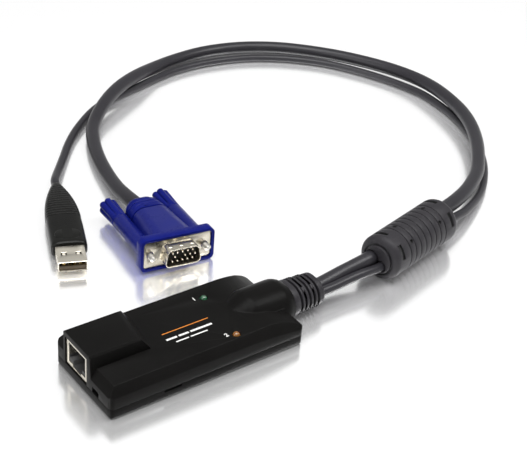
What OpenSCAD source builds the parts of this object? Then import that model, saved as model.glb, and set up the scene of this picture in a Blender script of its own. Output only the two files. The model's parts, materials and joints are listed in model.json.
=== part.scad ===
// Adapter module for a keyboard, video and mouse extender: a flat two-part case with a
// shielded network socket, two lamps and a recovery switch, and two captive leads that
// run through one moulded ferrite sleeve to a high-density video plug and a USB plug.
// Lengths are in millimetres. +X runs along the case towards its leads, -Y is the side
// with the power lamp and +Z is up. The origin is the centre of the case's underside,
// and every plug and lead lies on that same level.

/* [Case] */
// Length of the case without its neck
case_len = 86; // [82:0.5:100]
// Width of the case
case_wid = 39.4; // [39:0.2:46]
// Height of the flat top
case_top = 13.1; // [12.8:0.1:14]
// Height of the parting line between the covers
part_z = 4.6; // [4.4:0.1:4.8]
// Height of the shoulder line under the top bevel
shoulder_z = 9.5; // [9:0.1:10.4]
// Width of the bevel at the front and on the lamp side
bevel_w = 2.7; // [1.8:0.1:3]
// Width of the bevel on the far side
far_bevel_w = 1.4; // [1:0.1:2.4]
// Height of the bevel on the far side
far_bevel_h = 2.4; // [1.6:0.1:3.4]
// Corner radius of the case seen from above
corner_r = 2; // [1:0.1:3]
// Wall thickness of both covers
wall = 1.8; // [1.6:0.1:2]
// Thickness of the floor
floor_t = 1.6; // [1.4:0.1:1.8]
// Fall of the top at the rear wall
rear_drop = 4.6; // [3:0.2:5]
// Length of the falling stretch of the top
rear_drop_len = 17; // [12:0.5:20]

/* [Neck] */
// How far the neck stands out of the rear wall
neck_out = 4.5; // [3:0.25:6]
// Half height of the neck's hump
neck_r = 9.3; // [8.8:0.1:9.6]
// Half height of the neck's mouth
neck_mouth_r = 7.7; // [7.4:0.1:8.2]
// Height of the leads' common level in the neck
lead_z = 7.3; // [7.2:0.1:7.5]

/* [Network socket] */
// Place of the socket across the case
jack_y = 4.9; // [3:0.1:5]
// Width of the socket over its shield
jack_wid = 15; // [14.6:0.1:15.4]
// Height of the socket over its shield
jack_h = 11.4; // [11.2:0.1:12]
// Length of the socket
jack_len = 17.8; // [16:0.2:19]
// Width of the plug cavity
plug_w = 11.8; // [11.7:0.05:12]
// Height of the plug cavity
plug_h = 6.9; // [6.7:0.05:7]

/* [Lamps and switch] */
// Lamp diameter
lamp_d = 3; // [2.6:0.1:3.2]
// Distance of the online lamp from the front
online_from_front = 59.6; // [56:0.2:60]
// Distance of the online lamp from the far side
online_from_side = 8.9; // [7:0.1:10]
// Distance of the power lamp from the front
power_from_front = 57.1; // [54:0.2:60]
// Distance of the power lamp from the near side
power_from_side = 5; // [5:0.1:7]
// Travel of the recovery switch
switch_travel = 2; // [1:0.1:2]

/* [Leads] */
// Diameter of the video lead
vga_lead_d = 6.7; // [5.8:0.1:6.8]
// Diameter of the USB lead
usb_lead_d = 4; // [3.4:0.1:4.1]
// Length of the strain relief outside the neck
boot_len = 16; // [15.5:0.5:18]
// Half height of the strain relief at the neck
boot_r = 6.8; // [6.6:0.1:7.2]
// Half height of the strain relief at its free end
boot_tip_r = 6; // [5.9:0.1:6.4]
// Number of slots along the strain relief
boot_slots = 5; // [3:1:5]

/* [Ferrite sleeve] */
// Length of the moulded sleeve
ferrite_len = 46.4; // [45:0.2:50]
// Diameter of the moulded sleeve
ferrite_d = 20; // [19:0.5:20]
// Number of thin grooves round its middle
ferrite_grooves = 8; // [4:2:8]

/* [Video plug] */
// Width of the moulded flange
vga_flange_w = 33.6; // [33:0.2:36]
// Height of the moulded flange
vga_flange_h = 15; // [14.4:0.1:15.4]
// Depth of the moulded flange
vga_flange_t = 4; // [3.6:0.2:6]
// Width of the hood at the flange
vga_hood_front_w = 21.4; // [20:0.2:22]
// Width of the hood at its stepped end
vga_hood_rear_w = 17.6; // [16.6:0.2:17.8]
// Height of the hood
vga_hood_h = 13.6; // [12.6:0.1:13.6]
// Length of the hood from the face plate
vga_hood_len = 36; // [34:0.5:44]
// Distance between the jackscrews
jackscrew_pitch = 24.99; // [24.5:0.01:25.5]
// Diameter of the screw sleeves and the knobs
knob_d = 7.3; // [6.6:0.1:7.8]
// Length of each knob
knob_len = 14.7; // [10:0.1:18]

/* [USB plug] */
// Width of the metal shell
usb_shell_w = 12; // [11.8:0.1:12.2]
// Height of the metal shell
usb_shell_h = 4.5; // [4.3:0.1:4.7]
// Length of the shell that shows
usb_shell_len = 12; // [11:0.25:13]
// Width of the grip
grip_w = 15.4; // [14.6:0.1:17]
// Height of the grip
grip_h = 8.5; // [8:0.1:8.6]
// Length of the grip
grip_len = 53; // [51:0.5:54]
// Number of cross ribs on the grip
grip_ribs = 14; // [8:1:16]

/* [Hidden] */
$fn = 64;
// Overrun of a cut past the face that it opens
over = 1;
// Gap between pieces that fit into each other
fit = 0.1;
// Running gap round a turning screw
run_gap = 0.08;
half_turn = 180;
// Reach of a cut that crosses the whole case
reach = 120;

// Ends of the case and of its neck
x_front = -(case_len + neck_out) / 2;
x_rear = x_front + case_len;
x_neck = x_rear + neck_out;
half_wid = case_wid / 2;
bevel_h = case_top - shoulder_z;
// Bevel round the underside
foot_bevel = 1;
// Arc segments of the falling top
drop_steps = 8;
// Plan radius that an inner corner keeps
inner_corner_r = 0.4;

// The bevel on the lamp side deepens towards the rear from this distance on
band_from_front = 57;
band_depth = 1.5;
band_steps = 6;

// Lip of the lower cover inside the upper cover
lip_h = 1;
// Pry notch in the lamp side's parting line
notch_from_front = 22.7;
notch_len = 7.3;
notch_h = 1.3;
notch_depth = 0.7;

// Board and what carries it
board_gap = 1.9;
board_t = 1.4;
board_z = floor_t + board_gap;
board_top = board_z + board_t;
board_margin = 0.4;
board_rear_gap = 11;
board_x0 = x_front + wall + board_margin;
board_x1 = x_rear - board_rear_gap;
board_wid = case_wid - 2 * (wall + board_margin);

// Case screws and the posts that take them
screw_r = 1.1;
recess_len = 2.64;
recess_w = 0.44;
screw_head_r = 2.3;
screw_head_h = 1.3;
screw_sink = 0.2;
screw_len = 8.4;
boss_r = 3.4;
post_r = 2.9;
post_from_front = 9.75;
post_from_rear = 19;
post_from_side = 5.2;
screw_places = [[x_front + post_from_front, -(half_wid - post_from_side)],
                [x_rear - post_from_rear, half_wid - post_from_side]];
plain_places = [[x_front + post_from_front, half_wid - post_from_side],
                [x_rear - post_from_rear, -(half_wid - post_from_side)]];

// Hood over the socket
jack_setback = 0.5;
jack_gap = 0.3;
jack_roof_gap = 0.5;
hood_roof = 2.2;
hood_near_margin = 2.8;
hood_far_margin = 1.5;
hood_far_wall = 1.2;
hood_draft = 0.7;
hood_edge = 0.8;
jack_x0 = x_front + jack_setback;
hood_near = jack_y - jack_wid / 2 - hood_near_margin;
hood_far = jack_y + jack_wid / 2 + hood_far_margin;
hood_top = board_top + jack_h + jack_roof_gap + hood_roof;
// Rear slope of the hood, measured on the line through the case's middle
hood_flat_len = 21.4;
hood_slope_run = 4.6;
hood_slope_skew = 8;
hood_round = 1.6;

// Shield, front frame and cavity of the socket
shield_t = 0.3;
frame_w = 12;
frame_h = 8.6;
frame_rise = 1.6;
cavity_depth = 13.5;
cavity_rise = 3.2;
latch_w = 6.2;
latch_drop = 2.1;
notch_w = 5.9;
notch_z = 0.6;
contact_count = 8;
contact_pitch = 1.02;
contact_w = 0.4;
contact_t = 0.3;
contact_len = 7.6;
contact_tilt = 14;
contact_from_front = 2.6;

// Lamps
lamp_sink = 0.7;
lamp_flange_r = 1.85;
lamp_flange_h = 0.8;
lamp_base_z = 8.6;
lamp_hole_gap = 0.1;
lamp_pitch = 2.54;
lamp_wire = 0.5;
lamp_places = [[x_front + online_from_front, half_wid - online_from_side],
    [x_front + power_from_front, power_from_side - half_wid]];

// Recovery switch behind its slot at the parting line
slot_y = -9.2;
slot_w = 4.4;
slot_h = 2.4;
switch_w = 7;
switch_depth = 3.6;
switch_h = 3;
window_h = 1.6;
window_z = 0.3;
window_depth = 1.6;
shoe_w = 2;
shoe_h = 1.4;
tip_w = 1.4;
tip_h = 1;
tip_setback = 0.7;

// Parts on the board: place from the case's middle, and size
chip_size = [12, 12, 1.4];
chip_at = [-1, 2];
chip_leg = 1;
chip_leg_t = 0.3;
chip_leg_w = 0.3;
chip_leg_pitch = 0.8;
chip_leg_count = 13;
driver_size = [10, 6, 1.75];
driver_from_side = 10.7;
driver_at = [-17, driver_from_side - half_wid];
driver_leg_pitch = 1.27;
driver_leg_count = 7;
crystal_size = [11, 4.6, 3.4];
crystal_from_side = 6.7;
crystal_at = [2, crystal_from_side - half_wid];
header_size = [4.6, 10, 5.2];
header_slot = [2.4, 8.4, 4];
header_x_from_end = 2.5;
header_y = [-5.5, 6];

// Strain relief: root in the neck, groove that the wall grips, collar and slots
boot_gap = 1.4;
boot_root_r = 5.6;
boot_root_len = 12.8;
boot_groove_r = 4.6;
boot_groove_from_end = 8.4;
boot_groove_w = 2;
boot_collar = 3.1;
boot_edge = 0.8;
slot_pitch = 2.2;
slot_wide = 1.05;
slot_deep = 2;
web_w = 2.2;
// Angles from the top at which webs cross the slots
low_web_angle = 122;
high_web_angle = 28;
x_boot = x_neck + boot_len;
// Where each lead leaves the strain relief: across it, and above its middle
boot_vga_at = [1.1, -1.3];
boot_usb_at = [-4.2, 0.4];

// Neck outline: hump steps and mouth steps
hump_foot_r = 5.4;
hump_rise_len = 11.75;
hump_crest_len = 12.75;
hump_steps = 8;
mouth_steps = 5;
neck_gap = 0.9;
x_crest = x_neck - neck_out - hump_crest_len;
x_foot = x_crest - hump_rise_len;
// Solid stretch of the neck behind its mouth
neck_solid = 10.8;

// Ferrite sleeve: middle and heading
ferrite_at = [116.9, 4.95];
ferrite_yaw = 13.6;
ferrite_z = ferrite_d / 2;
ferrite_end_r = 2.8;
ferrite_groove_pitch = 3.73;
ferrite_groove_w = 0.6;
ferrite_groove_deep = 0.4;
// Where each lead runs through the sleeve: across it, and above its middle
sleeve_vga_at = [3.3, -0.5];
sleeve_usb_at = [-2, -2.4];
bore_gap = 0.1;
lead_in = 0.9;
core_len = 36;
core_d = 17.8;
core_bore_d = 14;
core_gap = 0.1;
// Recesses where the mould held the core: size along the sleeve, round it, and depth
side_slot = [1.9, 6.6, 1.4];
side_slot_from_end = 4.85;
side_slot_angles = [-20, 58];
side_dot_d = 1.7;
side_dot_deep = 0.9;
side_dot_from_end = 12.55;
side_dot_angles = [-11, 47];
// End face: a ring groove round a low boss
end_boss_r = 6.3;
end_boss_out = 0.7;
ring_groove_w = 1.1;
ring_groove_deep = 0.7;

// Video plug: middle of the face plate's front, heading and lean
vga_at = [28.1, 50.2];
vga_yaw = 82.4;
vga_pitch = 2.2;
vga_roll = 1.5;
vga_corner_r = 2.4;
vga_z = vga_flange_h / 2 * cos(vga_roll) + (vga_flange_w / 2 - vga_corner_r) * sin(vga_roll)
    + vga_flange_t * sin(vga_pitch);
vga_rim = 0.6;
vga_plate_w = 30.8;
vga_plate_h = 12.5;
vga_plate_t = 0.5;
vga_plate_r = 1.5;
vga_hood_r = 6;
vga_hood_steps = 3;
vga_step_len = 2.4;
vga_step_in = 1;
vga_step_groove = 0.5;
sleeve_end = 30;
thumb_gap = 0.3;
flute_count = 6;
flute_r = 1.35;
flute_sink = 0.75;
jackscrew_r = 1.42;
jackscrew_shank_r = 1.15;
jackscrew_out = 3.6;
jackscrew_in = 10;
plate_hole_gap = 0.45;
dshell_w = 16.9;
dshell_h = 8.3;
dshell_out = 6;
dshell_t = 0.45;
dshell_r = 2.2;
dshell_slant = 10;
insulator_out = 1.2;
pin_r = 0.4;
pin_out = 5.2;
pin_pitch = 2.29;
pin_row = 1.98;
pins_per_row = 5;
missing_pin = 1;

// USB plug: middle of the shell's mouth, heading and level
usb_at = [-12.25, 66.1];
usb_yaw = 67.6;
usb_z = grip_h / 2;
usb_shell_t = 0.3;
usb_shell_in = 7;
usb_hole = [2, 2.4];
usb_hole_from_mouth = 6.5;
usb_hole_side = 3;
tongue_w = 11.2;
tongue_t = 1.9;
tongue_setback = 0.6;
usb_contact_count = 4;
usb_contact_w = 1.1;
usb_contact_t = 0.12;
usb_contact_len = 8.6;
usb_contact_inner = 2;
usb_contact_outer = 7;
usb_contact_setback = 0.8;
pad_len = 11;
pad_w = 8.6;
pad_rise = 0.35;
pad_from_front = 6.5;
pad_embed = 1.2;
// Grip outline along its length: place, width and height as shares of the grip's own
grip_x_shares = [0, 0.02, 0.08, 0.2, 0.3, 0.4];
grip_w_shares = [0.93, 0.985, 0.995, 1, 1, 0.99];
grip_h_shares = [0.92, 0.98, 1, 1, 1, 1];
// The ribbed stretch narrows to the lead along a power curve
rib_from_share = 0.42;
rib_to_share = 0.96;
tip_w_share = 0.34;
tip_h_share = 0.6;
tip_power = 2.1;
rib_deep = 0.4;
grip_sides = 24;
grip_squareness = 3.4;
tip_squareness = 2.2;

// Sides of the lead tubes
vga_sides = 10;
usb_sides = 8;
// Straight stretch of a lead at the sleeve and at a plug
sleeve_straight = 2.5;
lead_straight = 4;

// Routes of the two leads, laid on the table: from the strain relief to the sleeve,
// through it, and round the loop to the plug
vga_route_a = [[68.5, 1.75, 6.4], [76.2, 2.1, 7.3], [84, 1.9, 8.6]];
vga_route_b = [[148, 16, 9.5], [156.1, 18.3, 9.4], [166.6, 22.4, 9], [176.3, 27.7, 8.3],
    [187, 35, 7.8], [198, 45.5, 7.8],
    [208.5, 57.5, 7.8], [217.5, 70.5, 7.8], [224.5, 84.5, 7.6], [229, 98.5, 7.2],
    [232, 113.5, 6.6], [232.5, 129, 5.6], [229.5, 144, 4.9], [224.5, 157, 4.4],
    [216.5, 172, 3.9], [205.5, 187, 3.4], [191, 200, 3.4], [173, 209.5, 3.4],
    [152, 214, 3.4], [131.5, 212.5, 3.6], [114.5, 207, 5], [99.5, 199.5, 7.2],
    [86, 192.3, 7.9], [74, 184.5, 7.2], [63.5, 176, 5.6], [54.5, 166, 4.1],
    [47.5, 153, 3.5], [42, 138.5, 3.4], [37.7, 122.5, 3.6], [34.8, 109, 4.7],
    [33.6, 98, 6]];
usb_route_a = [[68.5, -3.9, 7.7], [76, -3.5, 8], [84, -3.5, 8.3]];
usb_route_b = [[149.5, 11, 7], [158.2, 13.6, 5.6], [169.4, 18.9, 3.9], [178, 23.8, 2.9],
    [186, 29.3, 2.3], [193, 35.3, 2.1], [200, 42.3, 2.1], [206.5, 50.3, 2.1], [212, 58.8, 2.1],
    [217.5, 69.5, 2.1], [222, 80.5, 2.1], [225.5, 92.5, 2.1], [227.5, 105.5, 2.1],
    [227.8, 118.5, 2.1], [225, 131.5, 2.1], [220.5, 144.5, 2.1], [214.5, 157.5, 2.1],
    [206.5, 170.5, 2.1], [196.5, 181.5, 2.1], [184.5, 191, 2.1], [171, 198.3, 2.1],
    [157, 202.5, 2.1], [141.5, 204.6, 2.1], [126.5, 204, 2.1], [112.5, 201, 2.1],
    [99, 197, 2.1], [86.5, 193.6, 2.1], [75.5, 190.1, 2.1], [64.5, 184.2, 2.1],
    [54.5, 176.6, 2.1], [45.5, 168.6, 2.1], [37, 159.5, 2.1], [29.5, 150.2, 2.1],
    [22.8, 141.9, 2.5], [17.6, 135.2, 3.4]];

case_black = [0.13, 0.13, 0.13];
lead_grey = [0.30, 0.29, 0.32];
plug_blue = [0.17, 0.19, 0.58];
nickel = [0.74, 0.70, 0.62];
gold = [0.80, 0.62, 0.25];

// Headings of the sleeve and the plugs, as unit vectors on the table
function heading(a) = [cos(a), sin(a), 0];
function across(a) = [-sin(a), cos(a), 0];
ferrite_u = heading(ferrite_yaw);
ferrite_s = across(ferrite_yaw);
ferrite_mid = [ferrite_at.x, ferrite_at.y, ferrite_z];
vga_dir = cos(vga_pitch) * heading(vga_yaw) - [0, 0, sin(vga_pitch)];
vga_tail = [vga_at.x, vga_at.y, vga_z] + vga_dir * vga_hood_len;
usb_tail = [usb_at.x, usb_at.y, usb_z] + heading(usb_yaw) * (usb_shell_len + grip_len);

// Points of a lead where it runs straight through the sleeve
function sleeve_points(at) = [for (x = [-ferrite_len / 2 - sleeve_straight, -ferrite_len / 2,
    ferrite_len / 2, ferrite_len / 2 + sleeve_straight])
    ferrite_mid + ferrite_u * x + ferrite_s * at.x + [0, 0, at.y]];
vga_route = concat([[x_boot, boot_vga_at.x, lead_z + boot_vga_at.y]], vga_route_a,
    sleeve_points(sleeve_vga_at), vga_route_b, [vga_tail + vga_dir * lead_straight, vga_tail]);
usb_route = concat([[x_boot, boot_usb_at.x, lead_z + boot_usb_at.y]], usb_route_a,
    sleeve_points(sleeve_usb_at), usb_route_b, [usb_tail + heading(usb_yaw) * lead_straight, usb_tail]);

// ---- Shared shapes

// Direction of a route at its point i, with both ends square to what they meet
function tangent(path, i, first, last) = i == 0 ? first
    : i == len(path) - 1 ? last
    : unit(unit(path[i + 1] - path[i]) + unit(path[i] - path[i - 1]));
function unit(v) = v / norm(v);
function ring(p, t, r, sides) = let (s = unit(cross(t, [0, 0, 1])), u = cross(s, t))
    [for (k = [0:sides - 1]) p + r * (cos(360 * (k + 1 / 2) / sides) * s
        + sin(360 * (k + 1 / 2) / sides) * u)];
function skin(rings, sides) = concat(
    [[for (k = [0:sides - 1]) k]],
    [for (i = [0:rings - 2], k = [0:sides - 1]) let (a = i * sides, b = a + sides, n = (k + 1) % sides)
        [a + k, b + k, a + n]],
    [for (i = [0:rings - 2], k = [0:sides - 1]) let (a = i * sides, b = a + sides, n = (k + 1) % sides)
        [b + k, b + n, a + n]],
    [[for (k = [sides - 1:-1:0]) (rings - 1) * sides + k]]);

// Tube swept along a route
module tube(path, d, sides, first, last)
    polyhedron([for (i = [0:len(path) - 1]) each ring(path[i], tangent(path, i, first, last), d / 2, sides)],
        skin(len(path), sides));

// Points of an arc
function arc(c, r, a, b, steps) = [for (i = [0:steps]) c + r * [cos(a + (b - a) * i / steps),
    sin(a + (b - a) * i / steps)]];

// Rectangle with round corners about the origin
module round_rect(l, w, r) {
    square([l - 2 * r, w], center = true);
    square([l, w - 2 * r], center = true);
    for (x = [-1, 1], y = [-1, 1])
        translate([x * (l / 2 - r), y * (w / 2 - r)])
            circle(r);
}

// Bar along +X with a round-cornered section
module round_bar(x0, x1, w, h, r)
    translate([x0, 0, 0])
        rotate([90, 0, 90])
            linear_extrude(x1 - x0)
                round_rect(w, h, r);

// Plate in the X-Z plane, centred on y = 0
module side_plate(width, points)
    rotate([90, 0, 0])
        linear_extrude(width, center = true)
            polygon(points);

// Body along +X whose section is two half circles apart by 2 * gap. The profile holds
// [x, half height] from one end to the other.
module oval_body(profile, gap) {
    ends = concat([[profile[0].x, 0]], profile, [[profile[len(profile) - 1].x, 0]]);
    for (m = [0, 1])
        mirror([0, m, 0])
            translate([0, gap, 0])
                rotate([0, 90, 0])
                    rotate_extrude(angle = 180)
                        polygon([for (p = ends) [p.y, p.x]]);
    side_plate(2 * gap, concat(profile, [for (i = [len(profile) - 1:-1:0]) [profile[i].x, -profile[i].y]]));
}

// ---- Case forms; t is how far a face lies inside the outer skin

function slant(w, h) = sqrt(w * w + h * h);
// Foot and head of a bevel of width w and height h, moved in by t
function bevel_foot(w, h, t) = [t, case_top - h - t * (slant(w, h) - h) / w];
function bevel_head(w, h, t) = [w + t * (slant(w, h) - w) / h, case_top - t];

function drop_at(x) = x < x_rear - rear_drop_len ? 0
    : rear_drop * pow((x - x_rear + rear_drop_len) / rear_drop_len, 2);

module case_plan(t)
    translate([(x_front + x_rear) / 2, 0])
        round_rect(case_len - 2 * t, case_wid - 2 * t, max(corner_r - t, inner_corner_r));

module case_form(t, z0) {
    foot = bevel_foot(bevel_w, bevel_h, t);
    head = bevel_head(bevel_w, bevel_h, t);
    far_foot = bevel_foot(far_bevel_w, far_bevel_h, t);
    far_head = bevel_head(far_bevel_w, far_bevel_h, t);
    edge = max(foot_bevel - t, 0);
    x1 = x_rear - t;
    x_drop = x_rear - rear_drop_len;
    difference() {
        intersection() {
            linear_extrude(case_top + over)
                case_plan(t);
            side_plate(case_wid + 2 * over, concat(
                [[x_front + t + edge, z0], [x_front + t, z0 + edge], [x_front + foot.x, foot.y],
                 [x_front + head.x, head.y]],
                [for (i = [0:drop_steps]) let (x = x_drop + (x1 - x_drop) * i / drop_steps)
                    [x, case_top - t - drop_at(x)]],
                [[x1, z0 + edge], [x1 - edge, z0]]));
            translate([x_front - over, 0, 0])
                rotate([90, 0, 90])
                    linear_extrude(case_len + 2 * over)
                        polygon([[-half_wid + t + edge, z0], [-half_wid + t, z0 + edge],
                            [-half_wid + foot.x, foot.y], [-half_wid + head.x, head.y],
                            [half_wid - far_head.x, far_head.y], [half_wid - far_foot.x, far_foot.y],
                            [half_wid - t, z0 + edge], [half_wid - t - edge, z0]]);
        }
        band_cut(t);
    }
}

// Deepens the lamp side's bevel in a long arc towards the rear
module band_cut(t) {
    xa = x_front + band_from_front;
    run = x_rear - xa + over;
    translate([0, -half_wid, shoulder_z])
        rotate([atan2(bevel_w, -bevel_h), 0, 0])
            linear_extrude(case_wid, center = true)
                polygon(concat([[xa, case_top]],
                    [for (i = [0:band_steps]) [xa + run * i / band_steps,
                        -t - band_depth * pow(i / band_steps, 2)]],
                    [[xa + run, case_top]]));
}

// Hood over the socket, with its skewed rear slope
module hood_form(t, far_t) {
    top = hood_top - t * hood_roof / wall;
    flat_x = x_front + hood_flat_len;
    foot_x = flat_x + hood_slope_run * top / (hood_top - case_top);
    intersection() {
        translate([x_front + t, 0, 0])
            rotate([90, 0, 90])
                linear_extrude(case_len / 2)
                    polygon([[hood_near - hood_draft + t, part_z], [hood_near + t, top - hood_edge],
                        [hood_near + t + hood_edge, top], [hood_far - far_t - hood_edge, top],
                        [hood_far - far_t, top - hood_edge], [hood_far - far_t, part_z]]);
        translate([flat_x, 0, 0])
            rotate([0, 0, -hood_slope_skew])
                side_plate(case_wid, [[-case_len, 0], [-case_len, top], [-t - hood_round, top],
                    [-t + hood_round / 2, top - hood_round / 2],
                    [foot_x - flat_x - t, 0]]);
    }
}

// Neck: a hump that rises out of the top, a level crest and a rounded mouth
function neck_profile(t) = concat(
    [for (i = [0:hump_steps]) [x_foot + t + hump_rise_len * i / hump_steps,
        hump_foot_r - t + (neck_r - hump_foot_r) * (1 - cos(180 * i / hump_steps)) / 2]],
    [for (i = [0:mouth_steps]) [x_rear + neck_out * i / mouth_steps,
        neck_r - t - (neck_r - neck_mouth_r) * pow(i / mouth_steps, 2)]]);

module neck_form(t)
    translate([0, 0, lead_z])
        oval_body(neck_profile(t), neck_gap);

module outer_form() {
    case_form(0, 0);
    hood_form(0, 0);
    neck_form(0);
}

// Space inside both covers, in front of the neck's solid stretch
module inner_form()
    difference() {
        union() {
            case_form(wall, floor_t);
            hood_form(wall, hood_far_wall);
            intersection() {
                neck_form(wall);
                translate([x_front, -half_wid, floor_t])
                    cube([case_len, case_wid, case_top + hood_roof]);
            }
        }
        translate([x_neck - neck_solid, -half_wid, -over])
            cube([neck_solid, case_wid, hood_top]);
    }

// Seat of the strain relief: a bore with a ridge that fills the relief's groove
module boot_seat() {
    ridge_x = x_neck - boot_groove_from_end;
    translate([0, 0, lead_z])
        oval_body([[x_neck - neck_solid - over, boot_root_r + fit], [ridge_x, boot_root_r + fit],
            [ridge_x, boot_groove_r + fit], [ridge_x + boot_groove_w - 2 * fit, boot_groove_r + fit],
            [ridge_x + boot_groove_w - 2 * fit, boot_root_r + fit], [x_neck + over, boot_root_r + fit]],
            boot_gap);
}

// Openings in the front wall for the socket and the recovery switch
module front_openings() {
    translate([x_front - over, jack_y - jack_wid / 2 - jack_gap, part_z])
        cube([wall + 2 * over, jack_wid + 2 * jack_gap, board_top - part_z + jack_h + jack_gap]);
    translate([x_front - over, slot_y - slot_w / 2, part_z])
        cube([wall + 2 * over, slot_w, slot_h]);
}

module below(z)
    translate([x_front - over, -half_wid - over, -neck_r])
        cube([reach, case_wid + 2 * over, z + neck_r]);

// ---- Case pieces

module lower_cover()
    color(case_black)
        difference() {
            union() {
                difference() {
                    intersection() {
                        outer_form();
                        translate([x_front - over, -half_wid - over, 0])
                            cube([reach, case_wid + 2 * over, part_z]);
                    }
                    inner_form();
                }
                lip(0);
                for (p = screw_places)
                    translate([p.x, p.y, floor_t - fit])
                        cylinder(h = board_gap + fit, r = boss_r);
                for (p = plain_places)
                    translate([p.x, p.y, floor_t - fit])
                        cylinder(h = board_gap + fit, r = post_r);
            }
            boot_seat();
            front_openings();
            for (p = screw_places) {
                translate([p.x, p.y, -over])
                    cylinder(h = over + screw_sink + screw_head_h + fit, r = screw_head_r + fit);
                translate([p.x, p.y, 0])
                    cylinder(h = board_z + over, r = screw_r + fit);
            }
            translate([x_front + notch_from_front, -half_wid - over, part_z - notch_h])
                cube([notch_len, notch_depth + over, notch_h + over]);
        }

// Lip on the inner half of the wall; gap widens it for the rebate that takes it
module lip(gap)
    difference() {
        translate([0, 0, part_z - over * (gap > 0 ? 1 : 0)])
            linear_extrude(lip_h + gap + over * (gap > 0 ? 1 : 0))
                difference() {
                    case_plan(wall / 2 - gap);
                    case_plan(wall);
                }
        translate([x_neck - neck_solid, -half_wid, 0])
            cube([neck_solid + neck_out, case_wid, case_top]);
    }

module upper_cover()
    color(case_black)
        difference() {
            union() {
                difference() {
                    outer_form();
                    below(part_z);
                    inner_form();
                }
                intersection() {
                    for (p = screw_places)
                        translate([p.x, p.y, board_top])
                            cylinder(h = case_top, r = post_r);
                    outer_form();
                }
            }
            lip(fit);
            boot_seat();
            front_openings();
            for (p = screw_places)
                translate([p.x, p.y, 0])
                    cylinder(h = screw_sink + screw_head_h + screw_len + fit, r = screw_r + fit / 2);
            for (p = lamp_places)
                translate([p.x, p.y, lamp_base_z])
                    cylinder(h = case_top, r = lamp_d / 2 + lamp_hole_gap);
        }

module case_screws()
    color(nickel)
        for (p = screw_places)
            translate([p.x, p.y, screw_sink]) {
                difference() {
                    cylinder(h = screw_head_h, r = screw_head_r);
                    for (a = [0, 90])
                        rotate([0, 0, a])
                            translate([-recess_len / 2, -recess_w / 2, -over])
                                cube([recess_len, recess_w, over + screw_head_h / 2]);
                }
                translate([0, 0, screw_head_h])
                    cylinder(h = screw_len, r = screw_r);
            }

// ---- Board and what it carries

module circuit_board()
    color([0.05, 0.30, 0.14])
        difference() {
            translate([(board_x0 + board_x1) / 2, 0, board_z])
                linear_extrude(board_t)
                    round_rect(board_x1 - board_x0, board_wid, inner_corner_r);
            for (p = screw_places)
                translate([p.x, p.y, 0])
                    cylinder(h = case_top, r = screw_r + 2 * fit);
        }

// Flat package with a row of legs on two or four sides
module package(size, legs, pitch, sides) {
    translate([-size.x / 2, -size.y / 2, chip_leg_t / 2])
        cube([size.x, size.y, size.z]);
    for (a = sides, i = [0:legs - 1])
        rotate([0, 0, a])
            translate([(i - (legs - 1) / 2) * pitch - chip_leg_w / 2, size.y / 2 - chip_leg_t, 0])
                cube([chip_leg_w, chip_leg + chip_leg_t, chip_leg_t]);
}

module controller_chip()
    color([0.08, 0.08, 0.09])
        translate([chip_at.x, chip_at.y, board_top])
            package(chip_size, chip_leg_count, chip_leg_pitch, [0, 90, 180, 270]);

module line_driver_chip()
    color([0.08, 0.08, 0.09])
        translate([driver_at.x, driver_at.y, board_top])
            package(driver_size, driver_leg_count, driver_leg_pitch, [0, 180]);

module crystal_can()
    color(nickel)
        translate([crystal_at.x, crystal_at.y, board_top])
            linear_extrude(crystal_size.z)
                round_rect(crystal_size.x, crystal_size.y, crystal_size.y / 2 - fit);

module cable_headers()
    color([0.86, 0.85, 0.80])
        for (y = header_y)
            translate([board_x1 - header_x_from_end, y, board_top])
                difference() {
                    translate([-header_size.x / 2, -header_size.y / 2, 0])
                        cube(header_size);
                    translate([-header_slot.x / 2, -header_slot.y / 2, header_size.z - header_slot.z])
                        cube([header_slot.x, header_slot.y, header_slot.z + over]);
                }

// ---- Network socket

module rj45_housing()
    color([0.10, 0.10, 0.10])
        translate([jack_x0 + shield_t, jack_y, board_top])
            difference() {
                translate([fit / 2, -jack_wid / 2 + shield_t + fit / 2, 0])
                    cube([jack_len - 2 * shield_t - fit, jack_wid - 2 * shield_t - fit, jack_h - shield_t - fit / 2]);
                translate([-over, -plug_w / 2, cavity_rise])
                    cube([over + cavity_depth, plug_w, plug_h]);
                translate([-over, -latch_w / 2, cavity_rise - latch_drop])
                    cube([over + cavity_depth, latch_w, latch_drop + over]);
            }

module rj45_shield()
    color(nickel)
        translate([jack_x0, jack_y, board_top])
            difference() {
                translate([0, -jack_wid / 2, 0])
                    cube([jack_len, jack_wid, jack_h]);
                translate([shield_t, -jack_wid / 2 + shield_t, -over])
                    cube([jack_len - 2 * shield_t, jack_wid - 2 * shield_t, jack_h - shield_t + over]);
                translate([-over, -frame_w / 2, frame_rise])
                    cube([2 * over, frame_w, frame_h]);
                translate([-over, -notch_w / 2, notch_z])
                    cube([2 * over, notch_w, frame_h]);
            }

module rj45_contacts()
    color(gold)
        for (i = [0:contact_count - 1])
            translate([jack_x0 + contact_from_front, jack_y + (i - (contact_count - 1) / 2) * contact_pitch,
                board_top + cavity_rise + plug_h])
                rotate([0, contact_tilt, 0])
                    translate([0, -contact_w / 2, -contact_t])
                        cube([contact_len, contact_w, contact_t]);

// ---- Lamps

module lamp(p, tint)
    color(tint)
        translate([p.x, p.y, lamp_base_z]) {
            cylinder(h = lamp_flange_h, r = lamp_flange_r);
            cylinder(h = case_top - lamp_sink - lamp_base_z, r = lamp_d / 2);
            translate([0, 0, case_top - lamp_sink - lamp_base_z])
                sphere(lamp_d / 2);
        }

module online_led() lamp(lamp_places[0], [0.10, 0.45, 0.22]);
module power_led() lamp(lamp_places[1], [0.62, 0.45, 0.12]);

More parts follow.
